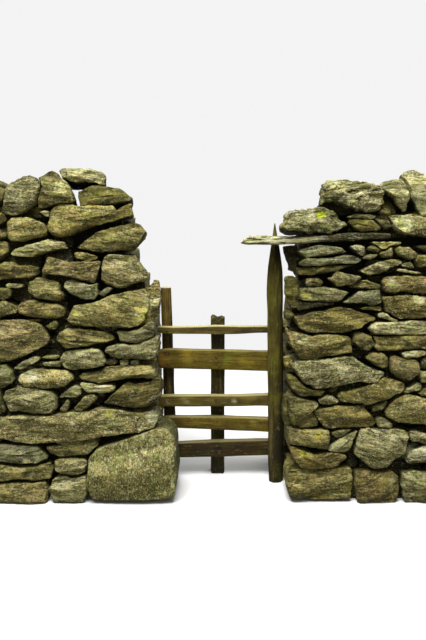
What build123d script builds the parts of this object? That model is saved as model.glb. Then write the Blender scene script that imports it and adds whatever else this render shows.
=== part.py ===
from build123d import *
import os
from math import atan2, dist, pi, tan

os.makedirs("parts", exist_ok=True)

# A gap stile in a dry-stone wall: two battered walls that end in heads of squared
# stones, copes on top, and a rail fence with three posts standing in the gap.
# Millimetres. The origin is the middle of the gap at ground level, X runs along
# the wall, Y runs away from the front and Z is up.

# Driving dimensions: the fence
rail_thickness = 45
rail_end_gap = 0.3
left_post_radius = 32
left_post_top_radius = 27
left_post_height = 1028
left_post_x = -272
left_post_lean = 20
left_post_crown = 8
middle_post_width = 70
middle_post_height = 871
middle_post_x = -20
middle_notch_depth = 21
middle_notch_width = 22
tall_post_radius = 39
tall_post_height = 1360
tall_post_x = 290
tall_post_lean = 31
tall_post_point = 250
tall_post_tip_radius = 5
hewn_depth = 4.5

# Driving dimensions: the tie slab and the boulder at the left foot
post_above_tie = 99
tie_thickness = 36
tie_tip_x = 89
tie_tail_x = 792
tie_width = 130
tie_bevel = 34
boulder_length = 368
boulder_reach_into_gap = 100
boulder_height = 350
boulder_front_proud = 70
boulder_back_y = -84
boulder_arris = 42

# Driving dimensions: the walls
gap_width = 664
wall_reach = 1400
wall_base_thickness = 660
wall_batter = 0.089
left_wall_top = 1442
wall_above_tie = 149
lap_length = 314
lap_overhang = 48
arris = 9
cope_height = 140
end_cope_share = 0.64
cope_arris = 24
cope_overhang = 8
clearance = 0.3

# Driving dimensions: the coursed stones of the walls' faces
stone_length = 230
joint_width = 14
joint_depth = 36
joint_lean = 11
stone_arris = 9

gap_edge = gap_width / 2
half_joint = joint_width / 2
tie_bottom = tall_post_height - post_above_tie
tie_top = tie_bottom + tie_thickness
right_wall_top = tie_bottom + wall_above_tie
highest_top = max(left_wall_top, right_wall_top)
lap_nose_x = gap_edge - lap_overhang
lap_tail_x = lap_nose_x + lap_length
left_side, right_side = -1, 1

# Head stones, from the ground up: name, course height, slope and run of the bed it
# lies on, how far its head stands back from the gap's edge, its length along the
# wall and how far it stands proud of the wall's faces.
straight = wall_reach
left_heads = [
    ("left_base_slab", 122, 0, straight, 1, 708, 14),
    ("left_dark_head", 143, 0, straight, 1, 242, 8),
    ("left_long_flat", 85, -0.04, straight, 1, 361, 0),
    ("left_lower_flat_head", 112, 0, straight, 2, 234, 6),
    ("left_upper_flat_head", 74, -0.16, straight, 1, 174, -4),
    ("left_great_head", 199, -0.08, straight, 3, 408, 10),
    ("left_square_head", 129, -0.12, straight, 24, 247, 4),
    ("left_wedge_head", 181, 0.03, straight, 26, 358, 8),
    ("left_cap_stone", 47, -0.27, straight, 86, 412, 2),
]
right_heads = [
    ("right_foot_stone", 292, 0, straight, 3, 279, 16),
    ("right_low_block", 80, -0.1, straight, 1, 190, 6),
    ("right_corner_stone", 163, 0, straight, 2, 138, 0),
    ("right_wedge_stone", 93, -0.13, straight, 1, 170, -6),
    ("right_great_head", 80, -0.32, 210, 11, 455, 10),
    ("right_squared_head", 127, 0.06, straight, 1, 291, 8),
    ("right_long_head", 105, 0, straight, 18, 395, 4),
    ("right_leaning_head", 122, 0.06, straight, 34, 272, 2),
    ("right_shelf_stone", 131, 0, straight, 24, 336, 8),
    ("right_upper_head", 68, 0, straight, 48, 259, -2),
]

# Relative lengths of the stones that follow one another in a course, and how far
# they stand proud of the wall's faces.
length_shares = [1.0, 1.4, 0.8, 1.2, 0.7]
stone_prouds = [4, -3, 7, 0]


def half_thickness(height):
    """Half the wall's thickness at a height, from the slope of its faces."""
    return wall_base_thickness / 2 - wall_batter * height


def wall_section(proud):
    """Corners of the wall's cross-section, its faces moved outwards by proud."""
    base = half_thickness(0) + proud
    crown = half_thickness(highest_top) + proud
    return [(-base, 0), (base, 0), (crown, highest_top), (-crown, highest_top)]


def head_tail(head):
    """Distance from the middle of the gap to the inner end of a head stone."""
    return gap_edge + head[4] + head[5]


def level_bed(height):
    """A bed joint that runs level along the whole wall."""
    return [(gap_edge, height), (wall_reach, height)]


def lay_beds(heads, low, high):
    """Bed joints from low to high, as corners from the gap to the wall's far end.

    Each follows its head stones to the longer one's tail, then runs out to an even
    spacing at the far end.
    """
    scale = (high - low) / sum(head[1] for head in heads)
    beds = []
    height = low
    for index, head in enumerate(heads):
        below = heads[max(index - 1, 0)]
        tail = max(head_tail(below), head_tail(head))
        bend = min(gap_edge + head[3], tail)
        bend_height = height + head[2] * (bend - gap_edge)
        bed = [(gap_edge, height), (bend, bend_height)]
        if bend < tail:
            bed.append((tail, bend_height))
        bed.append((wall_reach, low + (high - low) * index / len(heads)))
        beds.append(bed)
        height += scale * head[1]
    return beds + [level_bed(high)]


def bed_height(bed, x):
    """Height of a bed joint at a distance x from the middle of the gap."""
    for (start, low), (end, high) in zip(bed, bed[1:]):
        if x <= end:
            return low + (high - low) * (x - start) / (end - start)
    return bed[-1][1]


def bed_points(bed, start, end, slack=1):
    """Corners along a bed joint from start to end, without bends of less than slack."""
    low, high = sorted((start, end))
    low_z, high_z = bed_height(bed, low), bed_height(bed, high)
    corners = [start, end]
    for x, z in bed:
        straight_z = low_z + (high_z - low_z) * (x - low) / (high - low)
        if low < x < high and abs(z - straight_z) > slack:
            corners.append(x)
    return [(x, bed_height(bed, x)) for x in sorted(corners, reverse=start > end)]


def stone_block(elevation, side, proud, worn):
    """One stone: its elevation run through the wall, cut to the wall's sloping faces."""
    with BuildPart() as stone:
        with BuildSketch(Plane.XZ):
            with BuildLine():
                Polyline(*[(side * x, z) for x, z in elevation], close=True)
            make_face()
        extrude(amount=wall_base_thickness, both=True)
        with BuildSketch(Plane.YZ):
            with BuildLine():
                Polyline(*wall_section(proud), close=True)
            make_face()
        extrude(amount=2 * wall_reach, both=True, mode=Mode.INTERSECT)
        wall_faces = stone.faces().sort_by(Axis.Y)
        chamfer(wall_faces[0].edges() + wall_faces[-1].edges(), worn)
    return stone.part


def lay_head_stones(heads, beds, side):
    """Head stones of one wall, each between its two bed joints."""
    for index, head in enumerate(heads):
        start, tail = gap_edge + head[4], head_tail(head)
        elevation = bed_points(beds[index], start, tail)
        elevation += bed_points(beds[index + 1], tail, start)
        head_stone = stone_block(elevation, side, head[6], arris)
        head_stone.label = head[0]
        export_step(head_stone, f"parts/{head[0]}.step")


def stepped_end(heads, beds):
    """The wall's end from the ground up, stepped round the tails of its head stones."""
    tails = [head_tail(head) for head in heads]
    corners = [(tails[0], bed_height(beds[0], tails[0]))]
    for index in range(1, len(heads)):
        corners += bed_points(beds[index], tails[index - 1], tails[index])
    return corners + [(tails[-1], bed_height(beds[-1], tails[-1]))]


def course_joints(start, shift):
    """Upright joints of a course as (foot, top), from its start to the far end."""
    run = wall_reach - start
    count = max(1, round(run / stone_length))
    shares = [length_shares[(shift + i) % len(length_shares)] for i in range(count)]
    joints = [(start, start)]
    place = start
    for index, share in enumerate(shares[:-1]):
        place += run * share / sum(shares)
        lean = joint_lean * (-1) ** (index + shift)
        joints.append((place - lean, place + lean))
    return joints + [(wall_reach + half_joint, wall_reach + half_joint)]


def lay_course(lower_bed, upper_bed, joints, side, shift):
    """Stones of one course of the wall, held back from the joints round them."""
    stones = []
    for index, (near, far) in enumerate(zip(joints, joints[1:])):
        lower = bed_points(lower_bed, near[0] + half_joint, far[0] - half_joint, half_joint)
        upper = bed_points(upper_bed, far[1] - half_joint, near[1] + half_joint, half_joint)
        elevation = [(x, z + half_joint) for x, z in lower]
        elevation += [(x, z - half_joint) for x, z in upper]
        proud = stone_prouds[(index + shift) % len(stone_prouds)]
        stones.append(stone_block(elevation, side, proud, stone_arris))
    return stones


def lay_courses(heads, beds, side):
    """Stones of the courses that run on from the tails of the head stones."""
    stones = []
    for index, head in enumerate(heads):
        joints = course_joints(head_tail(head), index)
        stones += lay_course(beds[index], beds[index + 1], joints, side, index)
    return stones


left_beds = lay_beds(left_heads, boulder_height, left_wall_top)
right_beds = lay_beds(right_heads, 0, tie_bottom)
lay_head_stones(left_heads, left_beds, left_side)
lay_head_stones(right_heads, right_beds, right_side)

# The boulder at the foot of the left wall's head: it stands out in front of the
# wall and into the gap, and the base slab lies on its back.
boulder_head = gap_edge - boulder_reach_into_gap
boulder_tail = boulder_head + boulder_length
boulder_front_y = -half_thickness(0) - boulder_front_proud
with BuildPart() as left_footing_boulder:
    with BuildSketch(Plane.XZ.offset(-boulder_back_y)):
        with BuildLine():
            Polyline(
                (-boulder_tail, 0),
                (-boulder_head - 0.25 * boulder_reach_into_gap, 0),
                (-boulder_head, 0.3 * boulder_height),
                (-boulder_head - 0.12 * boulder_reach_into_gap, 0.75 * boulder_height),
                (-gap_edge, boulder_height),
                (-boulder_tail, boulder_height),
                close=True,
            )
        make_face()
    extrude(amount=boulder_back_y - boulder_front_y)
    boulder_front = left_footing_boulder.faces().sort_by(Axis.Y)[0]
    chamfer(boulder_front.edges(), boulder_arris)
left_footing_boulder.part.label = "left_footing_boulder"
export_step(left_footing_boulder.part, "parts/left_footing_boulder.step")

# The left wall: coursed stones round a core that shows at the bottom of the joints.
# Its end is stepped round the head stones, and two low courses beside the boulder
# carry them.
ground_bed = level_bed(-half_joint)
low_bed = level_bed(boulder_height / 2)
left_top_bed = level_bed(left_wall_top + half_joint)
left_stones = lay_courses(left_heads, left_beds[:-1] + [left_top_bed], left_side)
for shift, (lower, upper) in enumerate([(ground_bed, low_bed), (low_bed, left_beds[0])]):
    low_joints = [(gap_edge, gap_edge)] + course_joints(boulder_tail, shift)
    left_stones += lay_course(lower, upper, low_joints, left_side, shift)
with BuildPart() as left_wall:
    with BuildSketch(Plane.XZ):
        with BuildLine():
            left_end = [(gap_edge, 0), (gap_edge, boulder_height)]
            left_end += stepped_end(left_heads, left_beds)
            left_end += [(wall_reach, left_wall_top), (wall_reach, 0)]
            Polyline(*[(left_side * x, z) for x, z in left_end], close=True)
        make_face()
    extrude(amount=wall_base_thickness, both=True)
    with BuildSketch(Plane.YZ):
        with BuildLine():
            Polyline(*wall_section(-joint_depth), close=True)
        make_face()
    extrude(amount=2 * wall_reach, both=True, mode=Mode.INTERSECT)
    add(left_stones)
    with BuildSketch(Plane.XY):
        with Locations((-boulder_tail, boulder_back_y)):
            Rectangle(
                boulder_length,
                wall_base_thickness,
                align=(Align.MIN, Align.MAX),
            )
    extrude(amount=boulder_height, mode=Mode.SUBTRACT)
left_wall.part.label = "left_wall"
export_step(left_wall.part, "parts/left_wall.step")


def leaning_post(foot, lean, half_profile):
    """A round post: half its profile turned about its axis, then cut at the ground."""
    height = half_profile[-1][1]
    post_plane = Plane(origin=foot, x_dir=(height, 0, lean), z_dir=(0, -1, 0))
    buried = half_profile[0][0]
    outline = [(0, -buried), (buried, -buried)] + half_profile[1:] + [(0, height)]
    with BuildPart() as post:
        with BuildSketch(post_plane):
            with BuildLine():
                Polyline(*outline, close=True)
            make_face()
        revolve(axis=Axis(foot, (-lean, 0, height)))
        split(bisect_by=Plane.XY, keep=Keep.TOP)
    return post.part


# The tall handhold post: round, leaning a little and pointed, with a flat hewn
# where the rails lie against its back.
rail_front_y = -rail_thickness
tall_post_y = rail_front_y - tall_post_radius + hewn_depth
tall_profile = [
    (tall_post_radius, 0),
    (tall_post_radius, tall_post_height - tall_post_point),
    (tall_post_tip_radius, tall_post_height),
]
tall_round = leaning_post((tall_post_x, tall_post_y, 0), tall_post_lean, tall_profile)
with BuildPart() as tall_post:
    add(tall_round)
    split(bisect_by=Plane.XZ.offset(-rail_front_y), keep=Keep.TOP)
tall_post.part.label = "tall_post"
export_step(tall_post.part, "parts/tall_post.step")

# The tie slab: it lies in the right wall, reaches out over the gap in front of
# the tall post and keeps the post's point from coming forward.
point_slope = (tall_post_radius - tall_post_tip_radius) / tall_post_point
point_radius = tall_post_tip_radius + point_slope * post_above_tie
tie_back_y = tall_post_y - point_radius - clearance
with BuildPart() as tie_slab:
    with BuildSketch(Plane.XZ.offset(-tie_back_y)):
        with BuildLine():
            Polyline(
                (tie_tip_x, tie_bottom),
                (tie_tail_x, tie_bottom),
                (tie_tail_x, tie_top),
                (tie_tip_x + tie_bevel, tie_top),
                close=True,
            )
        make_face()
    extrude(amount=tie_width)
    tie_front_edges = tie_slab.edges().filter_by(Axis.X).group_by(Axis.Y)[0]
    chamfer(tie_front_edges, tie_thickness / 6)
tie_slab.part.label = "tie_slab"
export_step(tie_slab.part, "parts/tie_slab.step")

# The right wall: its top course carries the tie slab in a rebate, and the stone
# that lies on the slab fills the step above it.
right_layer_head = gap_edge + right_heads[-1][4]
right_top_bed = level_bed(right_wall_top + half_joint)
top_shift = len(right_heads)
top_joints = course_joints(lap_tail_x, top_shift)
right_stones = lay_courses(right_heads, [ground_bed] + right_beds[1:], right_side)
right_stones += lay_course(right_beds[-1], right_top_bed, top_joints, right_side, top_shift)
with BuildPart() as right_wall:
    with BuildSketch(Plane.XZ):
        with BuildLine():
            right_end = stepped_end(right_heads, right_beds)
            right_end += [
                (right_layer_head, tie_bottom),
                (right_layer_head, tie_top),
                (lap_tail_x, tie_top),
                (lap_tail_x, right_wall_top),
                (wall_reach, right_wall_top),
                (wall_reach, 0),
            ]
            Polyline(*right_end, close=True)
        make_face()
    extrude(amount=wall_base_thickness, both=True)
    with BuildSketch(Plane.YZ):
        with BuildLine():
            Polyline(*wall_section(-joint_depth), close=True)
        make_face()
    extrude(amount=2 * wall_reach, both=True, mode=Mode.INTERSECT)
    add(right_stones)
    with BuildSketch(Plane.XY.offset(tie_bottom)):
        with Locations((tie_tail_x, tie_back_y)):
            Rectangle(
                tie_tail_x - tie_tip_x,
                wall_base_thickness,
                align=(Align.MAX, Align.MAX),
            )
    extrude(amount=tie_thickness, mode=Mode.SUBTRACT)
right_wall.part.label = "right_wall"
export_step(right_wall.part, "parts/right_wall.step")

# Copes: elevations laid across the wall's top, each point as shares of the wall's
# reach and of the height of a cope.
top_slab_seat = left_wall_top + end_cope_share * cope_height
copes = [
    ("left_end_cope", left_side, left_wall_top, [
        (0.301, 0), (0.491, 0), (0.491, 0.51), (0.483, end_cope_share),
        (0.389, end_cope_share), (0.323, 0.49), (0.3, 0.2),
    ]),
    ("left_top_slab", left_side, top_slab_seat, [
        (0.394, 0), (0.48, 0), (0.524, 0.19), (0.527, 0.46), (0.457, 0.56), (0.401, 0.5), (0.389, 0.29),
    ]),
    ("left_leaning_cope", left_side, left_wall_top, [
        (0.497, 0), (0.62, 0), (0.623, 0.87), (0.571, 1.11), (0.532, 0.84), (0.497, 0.41),
    ]),
    ("left_round_cope", left_side, left_wall_top, [
        (0.631, 0), (0.721, 0), (0.746, 0.26), (0.726, 0.76), (0.682, 0.96), (0.643, 0.97), (0.627, 0.64),
    ]),
    ("left_far_cope", left_side, left_wall_top, [
        (0.75, 0), (0.864, 0), (0.873, 0.5), (0.843, 0.91), (0.786, 1), (0.751, 0.64),
    ]),
    ("left_outer_cope", left_side, left_wall_top, [
        (0.874, 0), (1, 0), (1, 0.79), (0.964, 1.06), (0.906, 1.01), (0.88, 0.5),
    ]),
    ("right_layered_cope", right_side, right_wall_top, [
        (0.336, 0), (0.529, 0), (0.54, 0.36), (0.537, 0.69),
        (0.511, 0.9), (0.443, 1.04), (0.341, 0.96), (0.329, 0.43),
    ]),
    ("right_leaning_cope", right_side, right_wall_top, [
        (0.58, 0), (0.624, 0), (0.626, 0.77), (0.601, 1.11), (0.53, 0.9), (0.546, 0.64),
    ]),
    ("right_upright_cope", right_side, right_wall_top, [
        (0.666, 0), (0.77, 0), (0.777, 0.71), (0.743, 1.23), (0.679, 1.34), (0.616, 1.29), (0.631, 0.71),
    ]),
    ("right_far_cope", right_side, right_wall_top, [
        (0.78, 0), (0.886, 0), (0.893, 0.64), (0.857, 1.04), (0.8, 0.99), (0.781, 0.5),
    ]),
    ("right_outer_cope", right_side, right_wall_top, [
        (0.897, 0), (1, 0), (1, 0.93), (0.971, 1.14), (0.921, 1.09), (0.899, 0.57),
    ]),
]


def mitre_share(before, here, after):
    """How much of an edge this corner's mitre takes, for each millimetre of arris."""
    turn = atan2(after[1] - here[1], after[0] - here[0]) - atan2(here[1] - before[1], here[0] - before[0])
    return tan(abs((turn + pi) % (2 * pi) - pi) / 2)


def worn_arris(elevation, seat):
    """cope_arris, or less on a stone whose short edges it would use up."""
    corners = list(zip(elevation[-1:] + elevation[:-1], elevation, elevation[1:] + elevation[:1]))
    shares = [mitre_share(*corner) for corner in corners]
    widest = cope_arris
    for (_, start, end), near, far in zip(corners, shares, shares[1:] + shares[:1]):
        if min(start[1], end[1]) > seat + 1:
            widest = min(widest, 0.98 * dist(start, end) / (near + far))
    return widest


def lay_cope(name, elevation, seat):
    """A stone laid across the wall, its arrises worn on all sides but the bed."""
    with BuildPart() as cope:
        with BuildSketch(Plane.XZ):
            with BuildLine():
                Polyline(*elevation, close=True)
            make_face()
        extrude(amount=half_thickness(seat) + cope_overhang, both=True)
        end_edges = cope.faces().filter_by(Axis.Y).edges()
        chamfer(end_edges.filter_by(lambda edge: edge.center().Z > seat + 1), worn_arris(elevation, seat))
    cope.part.label = name
    export_step(cope.part, f"parts/{name}.step")


for name, side, seat, outline in copes:
    cope_elevation = [(side * x * wall_reach, seat + z * cope_height) for x, z in outline]
    lay_cope(name, cope_elevation, seat)

# The lap stone: it lies on the tie slab and fills the wall's step, flush with the
# wall's top, and its nose hangs over the gap.
lap_height = right_wall_top - tie_top
lap_outline = [(0.195, 0), (0.987, 0), (0.994, 0.53), (0.88, 1), (0.18, 1), (0.06, 0.78), (0, 0.3)]
lap_elevation = [(lap_nose_x + x * lap_length, tie_top + z * lap_height) for x, z in lap_outline]
lay_cope("right_lap_stone", lap_elevation, tie_top)

# The left post: round, a little tapered and leaning, with a flat hewn for the
# rails and a low crown.
left_post_y = left_post_top_radius - hewn_depth
left_profile = [
    (left_post_radius, 0),
    (left_post_top_radius, left_post_height - left_post_crown),
    (0.6 * left_post_top_radius, left_post_height),
]
left_round = leaning_post((left_post_x, left_post_y, 0), left_post_lean, left_profile)
with BuildPart() as left_post:
    add(left_round)
    split(bisect_by=Plane.XZ, keep=Keep.BOTTOM)
left_post.part.label = "left_post"
export_step(left_post.part, "parts/left_post.step")

# The middle post: square, split and worn to two prongs at its top.
with BuildPart() as middle_post:
    with BuildSketch(Plane.XY):
        with Locations((middle_post_x, 0)):
            Rectangle(
                middle_post_width,
                middle_post_width,
                align=(Align.CENTER, Align.MIN),
            )
    extrude(amount=middle_post_height)
    with BuildSketch(Plane.XZ):
        with BuildLine():
            notch_bottom = middle_post_height - middle_notch_depth
            Polyline(
                (middle_post_x - middle_notch_width / 2, middle_post_height),
                (middle_post_x + middle_notch_width / 4, notch_bottom),
                (middle_post_x + middle_notch_width / 2, middle_post_height),
                close=True,
            )
        make_face()
    extrude(amount=-middle_post_width, mode=Mode.SUBTRACT)
    chamfer(middle_post.edges().filter_by(Axis.Z), middle_post_width / 20)
middle_post.part.label = "middle_post"
export_step(middle_post.part, "parts/middle_post.step")

# The rails: name, height of the lower edge at the left and right end, and depth.
rails = [
    ("top_rail", 783, 785, 37),
    ("second_rail", 600, 596, 94),
    ("third_rail", 396, 400, 45),
    ("fourth_rail", 274, 258, 54),
    ("bottom_rail", 110, 122, 68),
]
rail_end_x = gap_edge - rail_end_gap
for name, left_z, right_z, depth in rails:
    with BuildPart() as rail:
        with BuildSketch(Plane.XZ):
            with BuildLine():
                Polyline(
                    (-rail_end_x, left_z),
                    (rail_end_x, right_z),
                    (rail_end_x, right_z + depth),
                    (-rail_end_x, left_z + depth),
                    close=True,
                )
            make_face()
        extrude(amount=rail_thickness)
        chamfer(rail.faces().sort_by(Axis.Y)[0].edges(), rail_thickness / 15)
    rail.part.label = name
    export_step(rail.part, f"parts/{name}.step")
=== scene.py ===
import math

import bpy
import numpy as np
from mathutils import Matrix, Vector


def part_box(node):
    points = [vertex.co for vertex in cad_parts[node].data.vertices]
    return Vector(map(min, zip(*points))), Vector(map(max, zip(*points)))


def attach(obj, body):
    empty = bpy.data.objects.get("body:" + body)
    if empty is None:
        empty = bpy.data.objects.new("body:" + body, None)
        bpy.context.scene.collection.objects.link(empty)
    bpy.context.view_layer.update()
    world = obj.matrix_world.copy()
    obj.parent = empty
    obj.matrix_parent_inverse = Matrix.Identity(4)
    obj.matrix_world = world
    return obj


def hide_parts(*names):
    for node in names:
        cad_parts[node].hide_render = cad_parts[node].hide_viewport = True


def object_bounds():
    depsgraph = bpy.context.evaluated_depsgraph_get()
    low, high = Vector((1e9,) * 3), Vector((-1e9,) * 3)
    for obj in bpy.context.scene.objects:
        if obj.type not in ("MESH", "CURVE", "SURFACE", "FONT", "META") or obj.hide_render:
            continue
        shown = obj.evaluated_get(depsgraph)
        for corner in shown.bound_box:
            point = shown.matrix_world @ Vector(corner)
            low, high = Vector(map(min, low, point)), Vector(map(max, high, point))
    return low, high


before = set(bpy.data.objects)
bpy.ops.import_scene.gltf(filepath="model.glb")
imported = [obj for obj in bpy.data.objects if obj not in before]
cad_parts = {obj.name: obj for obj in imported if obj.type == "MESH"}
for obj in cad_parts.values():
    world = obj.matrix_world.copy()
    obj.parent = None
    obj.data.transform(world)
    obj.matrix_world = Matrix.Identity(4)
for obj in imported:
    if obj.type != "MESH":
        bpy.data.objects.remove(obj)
cad_low, cad_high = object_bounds()

# Sizes in metres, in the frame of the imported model: the origin is the middle of the
# gap at ground level, X runs along the wall, Y away from the front, Z is up.
BASE_HALF = 0.33
BATTER = 0.089
GAP_EDGE = 0.332
LEFT_TOP = 1.442
RIGHT_TOP = 1.41
WALL_REACH = cad_high[0]
SLOPE = math.atan(BATTER)

# The photograph's camera: its place, pitch and focal length, for a frame of 426 by
# 640 pixels.
IMAGE_WIDTH = 426
IMAGE_HEIGHT = 640
FOCAL_PX = 600
PITCH = math.radians(10.4)
CAMERA = np.array([-0.045, -3.08, 1.42])
SENSOR = 36.0

TINY = 1e-6


def sight(px, py):
    """Direction in which the camera sees a pixel of the photograph."""
    right = (px - IMAGE_WIDTH / 2) / FOCAL_PX
    up = (IMAGE_HEIGHT / 2 - py) / FOCAL_PX
    ahead = np.array([0, math.cos(PITCH), -math.sin(PITCH)])
    top = np.array([0, math.sin(PITCH), math.cos(PITCH)])
    return ahead + right * np.array([1.0, 0, 0]) + up * top


def face_point(px, py):
    """Where the line of sight through a pixel meets the front wall face, as (x, z)."""
    ray = sight(px, py)
    reach = (-BASE_HALF + BATTER * CAMERA[2] - CAMERA[1]) / (ray[1] - BATTER * ray[2])
    spot = CAMERA + reach * ray
    return spot[0], spot[2]


def plane_point(px, py, depth_y):
    """Where the line of sight through a pixel meets the upright plane at depth_y, as (x, z)."""
    ray = sight(px, py)
    spot = CAMERA + (depth_y - CAMERA[1]) / ray[1] * ray
    return spot[0], spot[2]


def seen_at(points):
    """Pixel of the photograph at which the camera sees each point."""
    offset = points - CAMERA
    ahead = offset[:, 1] * math.cos(PITCH) - offset[:, 2] * math.sin(PITCH)
    up = offset[:, 1] * math.sin(PITCH) + offset[:, 2] * math.cos(PITCH)
    return IMAGE_WIDTH / 2 + FOCAL_PX * offset[:, 0] / ahead, IMAGE_HEIGHT / 2 - FOCAL_PX * up / ahead


def half_thickness(height):
    """Half of the wall's thickness at a height above the ground."""
    return BASE_HALF - BATTER * height


# Noise that is the same on each run.

HASH_STEPS = np.array([374761393, 668265263, 1274126177])
HASH_SEED = 144665
HASH_TURN = 1103515245
WORD = 0xFFFFFFFF
HALF_WORD = 0xFFFF


def lattice(cells, seed):
    """A value from -1 to 1 that belongs to each whole-number point."""
    n = cells @ HASH_STEPS + seed * HASH_SEED
    n = n & WORD
    n = ((n ^ (n >> 13)) * HASH_TURN) & WORD
    n = n ^ (n >> 16)
    return (n & HALF_WORD) / (HALF_WORD / 2) - 1.0


def noise(points, size, seed):
    """Smooth noise from -1 to 1 with lumps of about this size in metres."""
    scaled = points / size
    cell = np.floor(scaled).astype(np.int64)
    part = scaled - cell
    part = part * part * (3 - 2 * part)
    total = 0
    for corner in range(8):
        step = np.array([corner & 1, corner >> 1 & 1, corner >> 2 & 1])
        weight = np.prod(np.where(step, part, 1 - part), axis=1)
        total = total + weight * lattice(cell + step, seed)
    return total


class Face:
    """A plane to lay stones in: u runs along it, v up it and w out of it."""

    def __init__(self, origin, u, v, w):
        self.origin = np.array(origin, float)
        self.axes = np.array([u, v, w], float)

    def place(self, local):
        return self.origin + local @ self.axes


RISE = math.cos(SLOPE)
LEAN = math.sin(SLOPE)
FRONT = Face((0, -BASE_HALF, 0), (1, 0, 0), (0, LEAN, RISE), (0, -RISE, LEAN))
BACK = Face((0, BASE_HALF, 0), (-1, 0, 0), (0, -LEAN, RISE), (0, RISE, LEAN))


def traced(pixels):
    """Outline on the front face, as (u, v), from pixels of the photograph."""
    spots = [face_point(x, y) for x, y in pixels]
    return np.array([(x, z / RISE) for x, z in spots])


def soften(outline, cut=0.004, most=0.3):
    """Cut each corner of a closed outline once, by a short length or at most a share of its side."""
    after = np.roll(outline, -1, axis=0)
    length = np.maximum(np.linalg.norm(after - outline, axis=1, keepdims=True), TINY)
    share = np.minimum(most, cut / length)
    first = outline * (1 - share) + after * share
    second = outline * share + after * (1 - share)
    return np.stack([first, second], axis=1).reshape(-1, 2)


def straighten(outline, slack=0.0055, fewest=5):
    """Drop points of a closed outline that lie near a straight edge, so that it turns at corners."""
    kept = list(outline)
    while len(kept) > fewest:
        offs = []
        for i in range(len(kept)):
            before, here, after = kept[i - 1], kept[i], kept[(i + 1) % len(kept)]
            along = after - before
            cross = along[0] * (here - before)[1] - along[1] * (here - before)[0]
            offs.append(abs(cross) / max(np.hypot(*along), TINY))
        least = int(np.argmin(offs))
        if offs[least] > slack:
            break
        kept.pop(least)
    return np.array(kept)


def resample(outline, spacing, fewest=18):
    """Even steps round a closed outline."""
    closed = np.vstack([outline, outline[:1]])
    lengths = np.hypot(*np.diff(closed, axis=0).T)
    along = np.concatenate([[0], np.cumsum(lengths)])
    count = max(fewest, int(along[-1] / spacing))
    steps = np.arange(count) * along[-1] / count
    return np.stack([np.interp(steps, along, closed[:, i]) for i in (0, 1)], axis=1)


def signed_area(outline):
    after = np.roll(outline, -1, axis=0)
    return 0.5 * np.sum(outline[:, 0] * after[:, 1] - after[:, 0] * outline[:, 1])


def middle_line(outline):
    """For each outline point the nearest point of the stone's middle line, and the half width."""
    centre = outline.mean(axis=0)
    spread = outline - centre
    vectors = np.linalg.eigh(spread.T @ spread)[1]
    axis = vectors[:, 1]
    along = spread @ axis
    across = spread @ vectors[:, 0]
    half_width = (across.max() - across.min()) / 2
    half_length = (along.max() - along.min()) / 2
    reach = max(0.0, half_length - half_width) * 0.9
    shift = (along.max() + along.min()) / 2
    inside = np.clip(along - shift, -reach, reach) + shift
    return centre + inside[:, None] * axis, half_width


# Colours, given as they look, and turned into light values.

def tint(red, green, blue):
    return np.array([(c / 255) ** 2.2 for c in (red, green, blue)])


TONES = {
    "grey": tint(130, 124, 76),
    "olive": tint(119, 110, 57),
    "brown": tint(117, 104, 56),
    "pale": tint(172, 165, 116),
    "bleached": tint(194, 187, 142),
    "dark": tint(82, 75, 35),
    "deep": tint(100, 92, 46),
    "bright": tint(144, 138, 92),
    "mossy": tint(106, 101, 44),
    "slate": tint(110, 107, 67),
    "shadow": tint(47, 42, 18),
    "umber": tint(121, 111, 60),
}

# Patches of lichen and moss on the front: pixel x and y, radius in pixels and colour.
PATCHES = [
    (143, 311, 8.5, (226, 216, 124)), (140, 320, 6, (214, 200, 100)), (153, 303, 7, (186, 180, 124)),
    (76, 313, 3.3, (184, 182, 74)), (90, 309, 3.0, (158, 158, 72)), (110.5, 413.8, 4.5, (166, 150, 62)),
    (154, 416, 6.5, (214, 211, 190)), (72, 425, 3, (214, 208, 180)), (100, 424, 3.4, (206, 200, 170)),
    (28, 375, 8, (232, 228, 212)), (105, 389, 6.5, (222, 218, 196)), (144, 451, 3.8, (232, 228, 210)),
    (320.8, 215, 4.6, (156, 180, 6)), (318.5, 435.5, 4, (150, 138, 50)),
    (303.5, 452.5, 4.6, (158, 144, 46)), (307.5, 297, 3.6, (166, 164, 68)),
    (303, 293, 2.4, (160, 158, 74)), (303, 339.5, 4.6, (196, 190, 124)), (415, 453, 10, (186, 184, 166)),
    (404, 224, 9, (198, 194, 146)), (388, 244, 8, (214, 198, 116)), (392, 284, 4.4, (212, 207, 178)),
    (420, 299, 5.5, (178, 171, 126)), (415, 186, 12, (220, 214, 170)), (20, 196, 6, (176, 170, 112)),
    (338, 347, 5.5, (74, 72, 30)), (60, 186, 7, (160, 156, 84)), (335, 186, 7, (206, 202, 158)),
    (362, 189, 6, (190, 186, 140)), (343, 371, 6, (158, 152, 112)),
]
# They are a little wider than tall, ragged in lumps of this size, light, and only on the front.
PATCH_SQUASH = 1.15
PATCH_LUMPS = 0.016
PATCH_GAIN = 1.15
PATCH_BACK = 0.05
PATCH_SEED = 91


def with_patches(tints, points):
    """Blend each patch into the colours of the points that lie in its line of sight."""
    px, py = seen_at(points)
    for x, y, radius, colour in PATCHES:
        off = np.hypot(px - x, (py - y) * PATCH_SQUASH) / radius
        near = (off < 1.7) & (points[:, 1] < PATCH_BACK)
        if near.any():
            ragged = off[near] * (1 + 0.45 * noise(points[near], PATCH_LUMPS, PATCH_SEED))
            share = np.clip((1.15 - ragged) / 0.4, 0, 1)[:, None]
            tints[near] = tints[near] * (1 - share) + tint(*colour) * PATCH_GAIN * share
    return tints


def new_object(name, mesh, material):
    """An object at the origin with this mesh and material."""
    mesh.materials.append(material)
    made = bpy.data.objects.new(name, mesh)
    bpy.context.scene.collection.objects.link(made)
    return made


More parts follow.
